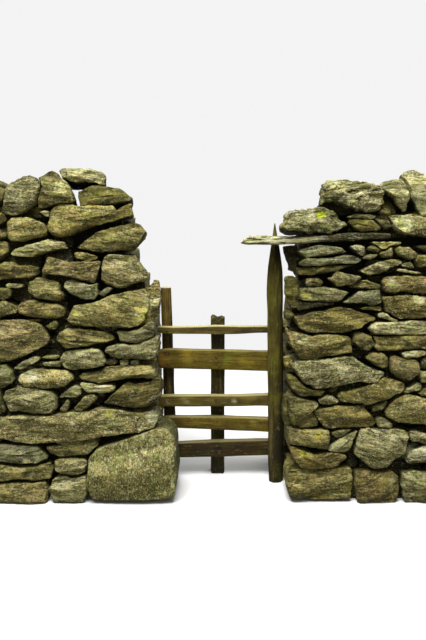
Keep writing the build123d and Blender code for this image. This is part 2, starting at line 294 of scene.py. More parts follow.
class Shape:
    """Closed bodies gathered into one mesh, with colour, traits and grain for each point."""

    def __init__(self):
        self.points = []
        self.faces = []
        self.layers = {"tint": [], "traits": [], "grain": []}
        self.count = 0

    def add(self, points, faces, tints, traits, grain):
        """One body. Its traits are three values, or three for each point."""
        self.faces += [[i + self.count for i in face] for face in faces]
        self.points.append(points)
        spread = np.broadcast_to(traits, (len(points), 3))
        for label, values in (("tint", tints), ("traits", spread), ("grain", grain)):
            self.layers[label].append(np.column_stack([values, np.ones(len(points))]))
        self.count += len(points)

    def object(self, name, material):
        mesh = bpy.data.meshes.new(name)
        mesh.from_pydata(np.vstack(self.points).tolist(), [], self.faces)
        for label, values in self.layers.items():
            layer = mesh.attributes.new(label, "FLOAT_COLOR", "POINT")
            layer.data.foreach_set("color", np.vstack(values).astype(np.float32).ravel())
        mesh.polygons.foreach_set("use_smooth", [True] * len(mesh.polygons))
        mesh.set_sharp_from_angle(angle=math.radians(24))
        return new_object(name, mesh, material)


def finish_piece(piece, slot, *nodes):
    """Let a piece ride on the one body, in place of these nodes."""
    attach(piece, "root")
    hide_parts(*nodes)


def skin(grid):
    """Points of a ring-by-ring grid that is closed round each ring, and their normals."""
    round_step = np.roll(grid, -1, axis=1) - np.roll(grid, 1, axis=1)
    ring_step = np.gradient(grid, axis=0)
    normals = np.cross(round_step, ring_step)
    lengths = np.linalg.norm(normals, axis=2, keepdims=True)
    normals = normals / np.maximum(lengths, 1e-9)
    return grid.reshape(-1, 3), normals.reshape(-1, 3)


def ring_faces(rings, count):
    """Quads between rings of a closed body, with a cap at each end."""
    quads = []
    for ring in range(rings - 1):
        low = ring * count
        for i in range(count):
            j = (i + 1) % count
            quads.append([low + i, low + j, low + count + j, low + count + i])
    quads.append(list(range(count))[::-1])
    quads.append(list(range((rings - 1) * count, rings * count)))
    return quads


# One stone: its worn arris, the half width past which its front rises no further, the
# least that the front stands out, and the step along its sides.
EDGE = 0.005
FULL_WIDTH = 0.055
SHALLOWEST = 0.0012
SIDE_STEP = 0.05
# Facets of a split front, by the ranges of their direction, of their lean and of where
# they begin: one at the top, one at the bottom, three anywhere, and short ones at the rim.
FACETS = [((1.1, 2.0), (0.3, 0.95), (-0.15, 0.45)), ((4.2, 5.2), (0.2, 0.7), (-0.1, 0.5))]
FACETS += [((0, 6.28), (0.08, 0.45), (0.0, 0.6))] * 3
RIM_TURN = (0, 6.28)
RIM_RUN = (0.05, 0.45)
RIM_RISE = 0.003
# The front's rings begin at this scale of the outline and shrink by this much.
FRONT_SCALE = 0.985
FRONT_SPAN = 0.85
# Unevenness of the outline, as a share of its reach and in metres.
OUTLINE_SWAY = 0.020
OUTLINE_JAG = 0.0028
# Relief: a slow swell, as a share of the half width, then layers, grain and rough lumps.
SWELL = 0.02
LEDGE = 0.0052
GRAIN = 0.0020
LUMPS = 0.0048
# Colour: how much layers lighten the standing ones and darken the sunk ones, as painted
# light and shade, and how much mottling lightens it; painted light on the stone's upper part
# and painted shade on its lower part; how dark the painted shade is at the rim, mostly on
# its underside, and on the sides behind it; and how stones differ in hue and lightness.
LEDGE_PAINTED_LIGHT = 0.20
MOTTLE_LIGHT = 0.14
PAINTED_TOP_LIGHT = 0.12
RIM_PAINTED_SHADE = 0.40
RIM_WIDTH = 0.009
HIDDEN_PAINTED_SHADE = 0.32
HIDDEN_DEPTH = 0.014
HUE_SPREAD = np.array([0.04, 0.0, -0.09])
LIGHT_SPREAD = (0.84, 1.18)
LEAST_LIGHT = 0.02
# Dark parts lose more blue than red and green.
DARK_POWER = np.array([1.0, 1.0, 1.35])
# Layers are this thick, and lie within this angle of level.
LAYER_HEIGHT = (0.014, 0.028)
BED_TURN = 0.22


def ledges(grain, period, seed):
    """Broken layers: each layer of the stone stands out by an amount of its own."""
    level = grain[:, 1] / period + 0.8 * noise(grain * np.array([0.5, 1, 1]), 0.08, seed)
    layer = np.floor(level)
    share = np.clip((level - layer - 0.72) / 0.28, 0, 1)

    def stand(index):
        place = np.column_stack([grain[:, 0], index * 0.61, grain[:, 2]])
        return noise(place, 0.11, seed + 3)

    return stand(layer) * (1 - share) + stand(layer + 1) * share


def split_face(spots, outline, height, half_width, facets, rng, worn):
    """Height of a split stone's front: the lowest flat facet at each spot, the creases worn round."""
    centre = outline.mean(axis=0)
    planes = [np.full(len(spots), height)]
    for spans in FACETS:
        turn, lean, start = [rng.uniform(*span) for span in spans]
        reach = (spots - centre) @ np.array([math.cos(turn), math.sin(turn)]) - start * half_width
        planes.append(height - reach * lean)
    for _ in range(facets):
        turn = rng.uniform(*RIM_TURN)
        run = rng.uniform(*RIM_RUN)
        heading = np.array([math.cos(turn), math.sin(turn)])
        rim = ((outline - centre) @ heading).max()
        from_rim = rim - (spots - centre) @ heading
        planes.append(RIM_RISE + from_rim * height / (run * half_width))
    found = -worn * np.log(np.exp(-np.array(planes) / worn).sum(axis=0))
    return np.maximum(found, SHALLOWEST)


def stone_rings(depth, edge, height, half_width, taper, spacing):
    """Rings of a stone from its tail to its front: their scale and their level."""
    side_count = max(2, int(depth / SIDE_STEP))
    front_count = max(3, int(half_width / spacing))
    rings = []
    for step in range(side_count):
        share = step / side_count
        rings.append((1 - taper * (1 - share) ** 1.5, -depth + share * (depth - edge)))
    rings += [(1.0, -edge), (0.997, -0.3 * edge), (FRONT_SCALE, 0.1 * edge)]
    for step in range(1, front_count + 1):
        scale = FRONT_SCALE - step * FRONT_SPAN / front_count
        rings.append((scale, min(height, (1 - scale) * half_width * 3.5)))
    return rings


def bedded(flat, bed, layering, seed):
    """A stone's points in the directions of its layers, each stone in a place of its own."""
    turned = flat @ np.array([
        [math.cos(bed), -math.sin(bed), 0],
        [math.sin(bed), math.cos(bed), 0],
        [0, 0.25, 1],
    ])
    turned *= np.array([1 + 0.9 * (1 - layering), layering, 1])
    return turned + np.array([seed % 97, seed % 89, seed % 83]) * 0.31


def add_stone(shape, face, outline, depth, seed, tone, traits, proud=0.0, bulge=0.48, facets=6,
              spacing=0.0070, taper=0.14, rough=1.0, keep=None, open_side=0, layering=1.0, worn=0.0009):
    """One stone: a closed block with a split, faceted front, set back into the wall.

    The traits are moss, lichen and layers, from 0 to 1. keep is a function that moves the
    stone's points, and open_side is the side, -1 or 1, whose end at the gap gets no painted
    shade on its sides.
    """
    rng = np.random.default_rng(seed)
    outline = resample(soften(straighten(np.asarray(outline, float))), spacing)
    if signed_area(outline) < 0:
        outline = outline[::-1]
    wobble = np.column_stack([outline, np.full(len(outline), seed * 0.37)])
    inner, half_width = middle_line(outline)
    outward = outline - inner
    reach = np.maximum(np.linalg.norm(outward, axis=1), TINY)
    heading = outward / reach[:, None]
    jag = OUTLINE_SWAY * reach * noise(wobble, 0.06, seed)
    jag += OUTLINE_JAG * rough * noise(wobble, 0.015, seed + 4)
    outline = outline + heading * jag[:, None]
    height = bulge * min(half_width, FULL_WIDTH)
    rings = stone_rings(depth, min(EDGE, 0.2 * half_width), height, half_width, taper, spacing)
    layers, from_rim = [], []
    for scale, level in rings:
        spots = inner + (outline - inner) * scale
        layers.append(np.column_stack([spots, np.full(len(spots), level)]))
        from_rim.append((1 - scale) * reach if level > 0 else 0 * reach)
    beneath = np.tile(0.5 - 0.5 * heading[:, 1], len(rings))
    rim = np.clip(np.concatenate(from_rim) / RIM_WIDTH, 0, 1)
    grid = np.array(layers)
    flat = grid.reshape(-1, 3)
    front = flat[:, 2] > 0
    split = split_face(flat[front, :2], outline, height, half_width, facets, rng, worn)
    flat[front, 2] = np.minimum(flat[front, 2], split)

    grain = bedded(flat, rng.uniform(-BED_TURN, BED_TURN), layering, seed)
    normals = skin(grid)[1]
    steps = ledges(grain, rng.uniform(*LAYER_HEIGHT), seed)
    relief = SWELL * half_width * noise(flat + seed, 1.6 * half_width, seed)
    relief += rough * LEDGE * (0.35 + traits[2]) * steps
    relief += rough * GRAIN * noise(grain * np.array([0.6, 1.6, 1]), 0.016, seed + 1)
    relief += max(0.0, rough - 1) * LUMPS * noise(grain, 0.026, seed + 2)
    rise = (flat[:, 1] - outline[:, 1].mean()) / max(TINY, np.ptp(outline[:, 1]) / 2)
    flat = flat + normals * relief[:, None]
    flat[:, 2] += proud
    points = face.place(flat)
    if keep is not None:
        points = keep(points)
    points[:, 2] = np.maximum(points[:, 2], 0.0)

    # Painted light and shade: layers that stand out are lighter and sunk ones darker. The mottling is the
    # stone's own.
    shade = 1 + LEDGE_PAINTED_LIGHT * steps + MOTTLE_LIGHT * noise(grain, 0.09, seed + 7)
    # Painted light on the stone's upper part and painted shade on its lower part.
    shade += PAINTED_TOP_LIGHT * np.clip(rise, -1, 1)
    # Painted shade along the rim, strongest on the underside.
    shade *= 1 - RIM_PAINTED_SHADE * (0.15 + 0.85 * beneath) * (1 - rim)
    # Painted shade on the sides behind the face, except at a wall's end in the gap.
    in_gap = (open_side != 0) & (points[:, 0] * open_side < GAP_EDGE + 0.10)
    shade *= np.where((flat[:, 2] < proud - HIDDEN_DEPTH) & ~in_gap, HIDDEN_PAINTED_SHADE, 1.0)
    hue = HUE_SPREAD * rng.uniform(-1, 1) + 1
    shade = np.maximum(shade, LEAST_LIGHT)[:, None] ** DARK_POWER
    tints = np.asarray(tone)[None, :] * hue * shade * rng.uniform(*LIGHT_SPREAD)
    shape.add(points, ring_faces(len(rings), grid.shape[1]), with_patches(tints, points), traits, grain)


# Materials.

LICHEN_PEAK = tint(212, 206, 168)
LICHEN_CRUST = tint(206, 200, 164)
LICHEN_SPOT = tint(214, 208, 172)
MOSS_GREEN = tint(106, 108, 30)
SEAM_DARK = tint(28, 24, 7)


class Nodes:
    """Short calls that add nodes to a tree and join them up."""

    def __init__(self, tree):
        self.tree = tree

    def feed(self, target, source):
        """Join a socket to another one, or give it a number, a vector or a colour."""
        if isinstance(source, bpy.types.NodeSocket):
            self.tree.links.new(source, target)
        elif isinstance(source, (int, float)):
            target.default_value = source
        else:
            values = [*(float(v) for v in source), 1.0]
            target.default_value = values[:len(target.default_value)]

    def add(self, kind, inputs, **settings):
        """A new node with these inputs, by name or place, and settings."""
        made = self.tree.nodes.new("ShaderNode" + kind)
        for key, value in settings.items():
            setattr(made, key, value)
        for key, value in inputs.items():
            self.feed(made.inputs[key], value)
        return made.outputs

    def cloud(self, where, scale, detail=6.0, rough=0.6, axes=None):
        """Noise in lumps; axes gives how fine it is along each axis of its own."""
        if axes:
            where = self.add("Mapping", {"Vector": where, "Scale": axes})["Vector"]
        inputs = {"Vector": where, "Scale": scale, "Detail": detail, "Roughness": rough}
        return self.add("TexNoise", inputs)["Fac"]

    def ramp(self, value, low, high):
        """From 0 at the first value smoothly to 1 at the second."""
        inputs = {"Value": value, "From Min": low, "From Max": high}
        return self.add("MapRange", inputs, interpolation_type="SMOOTHSTEP")["Result"]

    def math(self, operation, first, second=0.0):
        return self.add("Math", {0: first, 1: second}, operation=operation)[0]

    def times(self, first, second):
        return self.math("MULTIPLY", first, second)

    def plus(self, first, second):
        return self.math("ADD", first, second)

    def mix(self, share, first, second, blend="MIX"):
        return self.add("Mix", {0: share, 6: first, 7: second}, data_type="RGBA", blend_type=blend)[2]

    def seen(self):
        """1 for what the camera sees, also in a reflection or through glass."""
        path = self.add("LightPath", {})
        direct = self.math("MAXIMUM", path["Is Camera Ray"], path["Is Glossy Ray"])
        return self.math("MAXIMUM", direct, path["Is Transmission Ray"])


class Look(Nodes):
    """A new material, and the colour, traits and grain that its pieces carry."""

    def __init__(self, name, roughness, specular=0.25):
        self.material = bpy.data.materials.new(name)
        self.material.use_nodes = True
        super().__init__(self.material.node_tree)
        self.shader = self.tree.nodes["Principled BSDF"]
        self.set_shader("Roughness", roughness)
        self.set_shader("Specular IOR Level", specular)

    def set_shader(self, label, value):
        self.feed(self.shader.inputs[label], value)

    def carried(self, label, kind):
        return self.add("Attribute", {}, attribute_name=label)[kind]

    def read_piece(self):
        self.grain = self.carried("grain", "Vector")
        self.colour = self.carried("tint", "Color")
        self.traits = list(self.add("SeparateColor", {0: self.carried("traits", "Color")}))

    def cover(self, share, colour, blend="MIX"):
        """Lay a colour over the surface, as far as the share says."""
        self.base = self.mix(share, self.base, colour, blend)

    def shaded(self, factor):
        """The piece's colour times a factor, up to pale lichen: browner darker, greyer lighter."""
        blue = factor ** (1.7 if factor > 1 else 2.2)
        colour = self.add("VectorMath", {0: self.colour, 1: (factor, factor, blue)}, operation="MULTIPLY")[0]
        return self.add("VectorMath", {0: colour, 1: LICHEN_PEAK}, operation="MINIMUM")[0]

    def finish(self, height, strength, distance):
        """Use the colour laid so far and a bump of this height."""
        self.set_shader("Base Color", self.base)
        bump = self.add("Bump", {"Strength": strength, "Distance": distance, "Height": height})
        self.set_shader("Normal", bump["Normal"])
        return self.material


# Light and dark parts of a stone, in the order in which they are laid on: the pattern,
# its values where they begin and where they are full, their strength, and the
# brightness against the stone's own colour.
STONE_SHADES = [
    ("flake", 0.45, 0.0, 0.45, 0.38),
    ("flake", 0.70, 1.0, 0.35, 1.9),
    ("mottle", 0.54, 0.68, 0.45, 2.5),
    # facing_up: painted light on upward faces.
    ("facing_up", -0.25, 0.65, 0.28, 2.3),
    ("fine", 0.53, 0.62, 0.66, 2.9),
    ("fine", 0.47, 0.37, 0.88, 0.10),
]
# Grit, stronger where there is lichen: the same, light grains and dark ones.
GRIT_SHADES = [(0.53, 0.66, 0.62, 3.1), (0.47, 0.35, 0.72, 0.14)]
# Warm and cool areas: the values where they begin and are full, and what they multiply by.
STONE_HUES = [(0.50, 0.62, (1.06, 0.96, 0.62)), (0.50, 0.38, (0.91, 1.05, 0.58))]


def stone_material():
    """Weathered slate stone: mottled, layered, with lichen and moss."""
    look = Look("weathered_stone", 0.9)
    look.read_piece()
    where = look.grain
    moss, lichen, layers = look.traits
    mottle = look.cloud(where, 1.0, 9.0, 0.74, (12.0, 27.0, 16.0))
    fine = look.cloud(where, 1.0, 6.0, 0.80, (58.0, 135.0, 90.0))
    bent = look.add("VectorMath", {
        0: look.add("Mapping", {"Vector": where, "Scale": (22.0, 60.0, 30.0)})["Vector"],
        1: look.times(look.cloud(where, 38.0, 3.0), 1.6),
    }, operation="ADD")[0]
    cells = look.add("TexVoronoi", {"Vector": bent, "Scale": 1.0})
    flake = look.add("SeparateColor", {0: cells["Color"]})[0]
    facing_up = look.add("SeparateXYZ", {0: look.add("NewGeometry", {})["Normal"]})["Z"]
    patterns = {"mottle": mottle, "fine": fine, "flake": flake, "facing_up": facing_up}

    look.base = look.mix(look.ramp(mottle, 0.38, 0.62), look.shaded(0.42), look.colour)
    for pattern, low, high, strength, factor in STONE_SHADES:
        share = look.times(look.ramp(patterns[pattern], low, high), strength)
        look.cover(share, look.shaded(factor))

    grit = look.cloud(where, 1.0, 2.0, 0.6, (120.0, 210.0, 160.0))
    gritty = look.plus(look.times(lichen, 0.9), 0.22)
    for low, high, strength, factor in GRIT_SHADES:
        share = look.times(look.ramp(grit, low, high), gritty)
        look.cover(look.times(share, strength), look.shaded(factor))

    strata = look.cloud(where, 1.0, 8.0, 0.7, (6.0, 34.0, 6.0))
    seam = look.math("ABSOLUTE", look.math("SUBTRACT", strata, 0.5))
    seam = look.times(look.ramp(seam, 0.030, 0.005), look.ramp(mottle, 0.60, 0.42))
    seam = look.times(seam, look.plus(layers, 0.35))
    look.cover(look.times(seam, 0.9), SEAM_DARK)

    crust = look.ramp(look.cloud(where, 12.0, 8.0, 0.82), 0.575, 0.625)
    look.cover(look.times(crust, lichen), LICHEN_CRUST)
    spots = look.ramp(look.cloud(where, 105.0, 3.0, 0.6), 0.60, 0.66)
    look.cover(look.times(spots, lichen), LICHEN_SPOT)
    hue = look.cloud(where, 1.0, 7.0, 0.78, (20.0, 34.0, 26.0))
    for low, high, colour in STONE_HUES:
        look.cover(look.ramp(hue, low, high), colour, "MULTIPLY")
    green = look.ramp(look.cloud(where, 8.0, 7.0, 0.7), 0.42, 0.60)
    green = look.times(green, look.times(moss, 0.75))
    lit = look.plus(look.times(look.ramp(facing_up, -0.25, 0.65), 0.75), 0.3)
    look.cover(look.times(green, lit), MOSS_GREEN)

    height = look.plus(mottle, look.times(fine, 0.4))
    height = look.plus(height, look.times(flake, 0.35))
    height = look.math("SUBTRACT", height, look.times(seam, 0.8))
    return look.finish(height, 1.0, 0.009)


def wood_material():
    """Weathered oak: grain along its attribute's first axis, algae, and paler upward faces."""
    look = Look("weathered_timber", 0.85)
    look.read_piece()
    where = look.grain
    green, worn, streaks = look.traits
    fibre = look.cloud(where, 1.0, 6.0, 0.75, (6.0, 150.0, 150.0))
    broad = look.cloud(where, 1.0, 4.0, 0.6, (2.2, 22.0, 22.0))
    stain = look.cloud(where, 9.0, 6.0, 0.7)
    crack = look.ramp(look.cloud(where, 1.0, 3.0, 0.6, (3.0, 95.0, 95.0)), 0.41, 0.35)
    fleck = look.ramp(look.cloud(where, 1.0, 4.0, 0.7, (26.0, 120.0, 120.0)), 0.60, 0.68)
    furrow = look.mix(1.0, look.colour, (0.40, 0.37, 0.26), "MULTIPLY")
    stained = look.times(look.ramp(stain, 0.55, 0.38), streaks)
    look.base = look.mix(look.ramp(fibre, 0.36, 0.62), furrow, look.colour)
    for share, colour in (
        (look.times(look.ramp(broad, 0.5, 0.7), 0.45), tint(146, 128, 60)),
        (look.times(stained, 0.7), tint(30, 25, 7)),
        (look.times(crack, streaks), tint(26, 22, 8)),
        (look.times(fleck, 0.38), tint(158, 148, 98)),
        (look.times(look.ramp(stain, 0.50, 0.66), green), tint(96, 98, 26)),
        (worn, tint(184, 172, 120)),
    ):
        look.cover(share, colour)
    return look.finish(look.plus(fibre, look.times(broad, 0.8)), 0.8, 0.003)


STONE = stone_material()
WOOD = wood_material()

# The stones of the front face, each with its outline in pixels of the photograph:
# name, tone, (moss, lichen, layers), how far it stands proud in millimetres.
LEFT_FACE = [
    ("foot_flat", "deep", (0.4, 0.4, 0.3), 2, [
        (46, 447), (96, 441.5), (99, 444), (88, 455), (60, 456), (50, 453)]),
    ("foot_pale", "grey", (0.3, 0.6, 0.2), 6, [
        (54, 461), (60, 458.5), (83, 458), (88, 462), (86, 471), (78, 475), (66, 474), (56, 471)]),
    ("foot_long", "slate", (0.4, 0.5, 0.4), 4, [
        (-14, 446), (2, 444.5), (38, 447), (48, 458), (38, 463), (18, 464), (2, 461), (-14, 462)]),
    ("foot_mid", "olive", (0.5, 0.4, 0.4), 0, [
        (-14, 466), (4, 465), (20, 468), (36, 466.5), (49, 463), (53, 470), (50, 478), (34, 481),
        (14, 479), (-4, 482), (-14, 480)]),
    ("foot_deep", "grey", (0.4, 0.5, 0.3), 8, [
        (52, 480), (60, 476.5), (74, 478.5), (86, 475), (89, 484), (88, 494), (84, 502), (54, 502),
        (49, 490)]),
    ("foot_broad", "brown", (0.4, 0.4, 0.4), 5, [
        (-14, 486), (14, 482.5), (32, 484.5), (46, 482), (48, 490), (47, 502), (-14, 502)]),
    ("chip_under_cope", "bleached", (0.3, 0.3, 0.2), 4, [
        (38, 212), (44, 211), (50, 211), (49, 217), (43, 215)]),
    ("edge_cope", "dark", (0.4, 0.5, 0.2), 0, [
        (-14, 205), (-10, 190), (0, 187), (6, 190), (4, 201), (0, 204)]),
    ("edge_high", "dark", (0.2, 0.3, 0.3), -6, [
        (-16, 228), (-14, 212), (0, 212), (6, 215), (6, 222), (0, 226)]),
    ("edge_mid", "dark", (0.3, 0.3, 0.3), 0, [(-16, 242), (-14, 231), (0, 229), (7, 232), (6, 238)]),
    ("edge_wedge", "deep", (0.3, 0.4, 0.3), 0, [
        (-16, 262), (-12, 245), (0, 241), (8, 242), (9, 251), (0, 261)]),
    ("high_block", "olive", (0.3, 0.5, 0.4), 8, [
        (8, 238), (8, 222), (12, 218), (31, 217), (43, 224), (47, 230), (47, 236), (22, 242), (12, 242)]),
    ("long_wedge", "bleached", (0.3, 0.3, 0.6), 4, [
        (11, 255), (13, 251), (18, 248), (50, 240), (64, 242), (68, 249), (56, 250), (33, 257)]),
    ("small_top", "olive", (0.3, 0.5, 0.4), 0, [
        (74, 253), (80, 252), (97, 256), (98, 259), (85, 262), (76, 259)]),
    ("flat_mid", "brown", (0.35, 0.4, 0.5), 10, [
        (43, 275), (43, 270), (48, 256), (68, 262), (100, 261), (101, 264), (95, 283), (62, 275)]),
    ("left_mid", "dark", (0.3, 0.3, 0.5), 4, [
        (-16, 281), (-16, 265), (0, 264), (5, 262), (14, 262), (18, 265), (30, 265), (38, 267), (38, 275),
        (31, 278)]),
    ("white_sliver", "bleached", (0.0, 1.0, 0.3), 2, [
        (5, 285), (9, 283), (23, 284), (23, 287), (17, 289), (8, 288)]),
    ("mid_hump", "olive", (0.35, 0.3, 0.4), 6, [
        (28, 290), (29, 282), (38, 276.5), (57, 281), (60, 285), (60, 290), (64, 295), (63, 300),
        (56, 301), (36, 298)]),
    ("mid_round", "bright", (0.3, 0.5, 0.3), 6, [
        (64, 287), (66, 282), (72, 279), (90, 285), (98, 283), (98, 295), (95, 299), (85, 299.5),
        (70, 294)]),
    ("lean_sliver", "slate", (0.2, 0.3, 0.4), 2, [
        (99, 294), (104, 289), (107, 287), (113, 288), (104, 297)]),
    ("edge_small", "deep", (0.3, 0.3, 0.3), 0, [
        (-16, 300), (-14, 288), (8, 288), (11, 291), (10, 297), (5, 299)]),
    ("edge_low", "deep", (0.3, 0.5, 0.3), 4, [
        (-16, 318), (-14, 303), (5, 301), (18, 308), (17, 312), (0, 317)]),
    ("long_mid", "brown", (0.3, 0.3, 0.5), 4, [
        (18, 309), (20, 303), (26, 300), (34, 300), (60, 305), (65, 308), (65, 314), (60, 318), (48, 319),
        (26, 316), (19, 313)]),
    ("thin_mid", "deep", (0.2, 0.2, 0.5), -6, [(26, 319), (40, 319.5), (40, 322), (26, 322)]),
    ("big_left", "brown", (0.4, 0.45, 0.3), 14, [
        (-16, 362), (-18, 326), (5, 320), (24, 319), (42, 325), (44, 330), (49, 335), (50, 341),
        (46, 346), (10, 361)]),
    ("pin_high", "deep", (0.3, 0.4, 0.2), 0, [(45, 326), (57, 320), (58, 326), (55, 330), (49, 329)]),
    ("under_head", "deep", (0.3, 0.4, 0.5), 4, [
        (56, 339), (58, 334), (68, 328), (105, 332), (112, 335), (115, 339), (105, 343), (66, 349)]),
    ("mid_oval", "bright", (0.3, 0.5, 0.3), 8, [
        (61, 357), (64, 353), (72, 350), (95, 348.5), (100, 350), (106, 361), (104, 366), (90, 369),
        (72, 370), (65, 367), (61, 362)]),
    ("sliver_low", "bright", (0.3, 0.4, 0.3), -2, [
        (13, 369), (18, 364), (34, 356.5), (39, 358), (37, 362), (22, 369)]),
    ("sliver_thin", "olive", (0.2, 0.4, 0.3), -4, [
        (40, 358), (44, 356), (55, 355.5), (59, 357), (55, 360)]),
    ("sliver_mid", "slate", (0.2, 0.4, 0.3), -2, [(42, 364), (50, 362), (60, 362), (61, 367), (46, 366)]),
    ("edge_base", "slate", (0.4, 0.3, 0.3), 4, [
        (-16, 388), (-14, 366), (7, 364), (13, 372), (12, 376), (14, 381), (4, 388)]),
    ("white_left", "olive", (0.2, 0.8, 0.2), 10, [
        (19, 378), (21, 374), (33, 369), (67, 371), (73, 375), (74, 378), (64, 387), (45, 388), (25, 386),
        (21, 383)]),
    ("pin_flat_a", "shadow", (0.3, 0.4, 0.3), -4, [
        (106, 362), (110, 358.5), (116, 358.5), (118, 362), (114, 365), (108, 365)]),
    ("pin_flat_b", "bright", (0.3, 0.4, 0.3), -4, [
        (119, 361), (124, 359.5), (129, 361), (128, 365), (121, 365)]),
    ("pin_flat_c", "bright", (0.3, 0.4, 0.3), -4, [
        (130, 361), (137, 360), (140, 362), (138, 365), (131, 365)]),
    ("pale_flat", "bleached", (0.2, 0.6, 0.4), 4, [
        (80, 383), (115, 386), (114, 390), (110, 393), (88, 393), (84, 390)]),
    ("low_left", "grey", (0.3, 0.4, 0.4), 6, [
        (4, 397), (6, 391), (20, 386.5), (50, 391), (57, 395), (57, 407), (52, 413), (36, 414), (20, 411),
        (10, 411)]),
    ("low_chip_a", "pale", (0.2, 0.5, 0.3), 0, [
        (58, 398), (68, 389), (74, 386), (80, 389), (81, 394), (77, 398)]),
    ("low_chip_b", "slate", (0.2, 0.3, 0.3), -4, [
        (60, 409), (66, 400), (69, 402), (69, 407), (66, 412), (62, 412)]),
    ("low_chip_c", "deep", (0.3, 0.4, 0.3), 2, [
        (74, 408), (84, 397), (90, 395), (96, 395.5), (97, 399), (87, 409), (80, 412), (75, 411)]),
    ("edge_chip", "dark", (0.3, 0.4, 0.3), 0, [(-14, 414), (-14, 392), (0, 393), (2, 398), (5, 412)]),
    ("under_slab", "grey", (0.4, 0.3, 0.4), -4, [
        (52, 441), (90, 438), (97, 440), (98, 444), (92, 449), (85, 451), (65, 448)]),
]
LEFT_HEADS = [
    ("left_cap_stone", "olive", (0.45, 0.5, 0.3), 8, [
        (51, 211), (55, 206), (60, 204), (80, 206), (113, 205), (118, 211), (126, 205), (132, 203),
        (133.5, 215.5), (89, 228), (62, 238), (54, 236.5), (47, 230)]),
    ("left_wedge_head", "deep", (0.4, 0.4, 0.4), 8, [
        (77, 248), (96, 233), (134, 222.5), (141, 224.5), (147, 232), (145, 238), (134, 250),
        (100, 253)]),
    ("left_square_head", "grey", (0.35, 0.45, 0.3), 6, [
        (102, 263), (104, 258), (109, 255), (136, 255), (147, 272), (148, 277), (128, 287), (118, 288),
        (106, 284), (101, 279)]),
    ("left_great_head", "olive", (0.35, 0.4, 0.4), 12, [
        (68, 320), (74, 306), (95, 303), (112, 295), (144, 289), (148.5, 294), (149.5, 308), (145, 315),
        (144, 321), (138, 326), (130, 328), (74, 325)]),
    ("left_upper_flat_head", "slate", (0.4, 0.3, 0.5), 2, [
        (117, 331), (128, 331), (140, 328), (150, 322), (154, 322), (154, 336), (138, 344), (120, 342)]),
    ("left_lower_flat_head", "slate", (0.3, 0.4, 0.5), 6, [
        (105, 352), (107, 347), (125, 344), (130, 346), (157, 338), (159, 345), (158, 356), (150, 359),
        (118, 358), (110, 356)]),
    ("left_long_flat", "olive", (0.3, 0.4, 0.6), 4, [
        (79, 376), (84, 373), (100, 371), (105, 367), (112, 365.5), (150, 366), (155, 370), (157, 378),
        (125, 379), (98, 383), (82, 379)]),
    ("left_dark_head", "dark", (0.3, 0.3, 0.6), 8, [
        (104, 403), (124, 383), (130, 382), (135, 384), (150, 382), (156, 377), (161, 380), (162, 390),
        (160, 397), (148, 406), (138, 408)]),
    ("left_base_slab", "umber", (0.2, 0.8, 0.3), 16, [
        (-12, 424), (-8, 417), (50, 415), (90, 411), (98, 408), (142, 413), (156, 408), (158, 411),
        (158, 418), (154, 427), (138, 431), (75, 441), (30, 443), (-12, 436)]),
]
LEFT_COPES = [
    ("left_round_cope", "grey", (0.45, 0.7, 0.3), 10, [
        (2, 210), (7, 187), (20, 178), (30, 175), (38, 178), (41, 184), (37, 204), (25, 213), (15, 216),
        (6, 214)]),
    ("left_leaning_cope", "deep", (0.4, 0.5, 0.4), 6, [
        (38, 208), (38.5, 197), (42, 186), (38.5, 178), (52, 171), (58, 174), (70, 185), (76, 200),
        (74, 204), (60, 204), (44, 209)]),
    ("left_top_slab", "pale", (0.4, 0.6, 0.4), 4, [
        (60, 170), (62, 168), (90, 168.5), (103, 171), (106, 175), (104, 186), (93, 182), (75, 182),
        (63, 178)]),
    ("left_end_cope", "deep", (0.6, 0.4, 0.3), 4, [
        (78, 192), (93, 185), (120, 188), (133, 198), (133, 201), (113, 205), (80, 206)]),
]
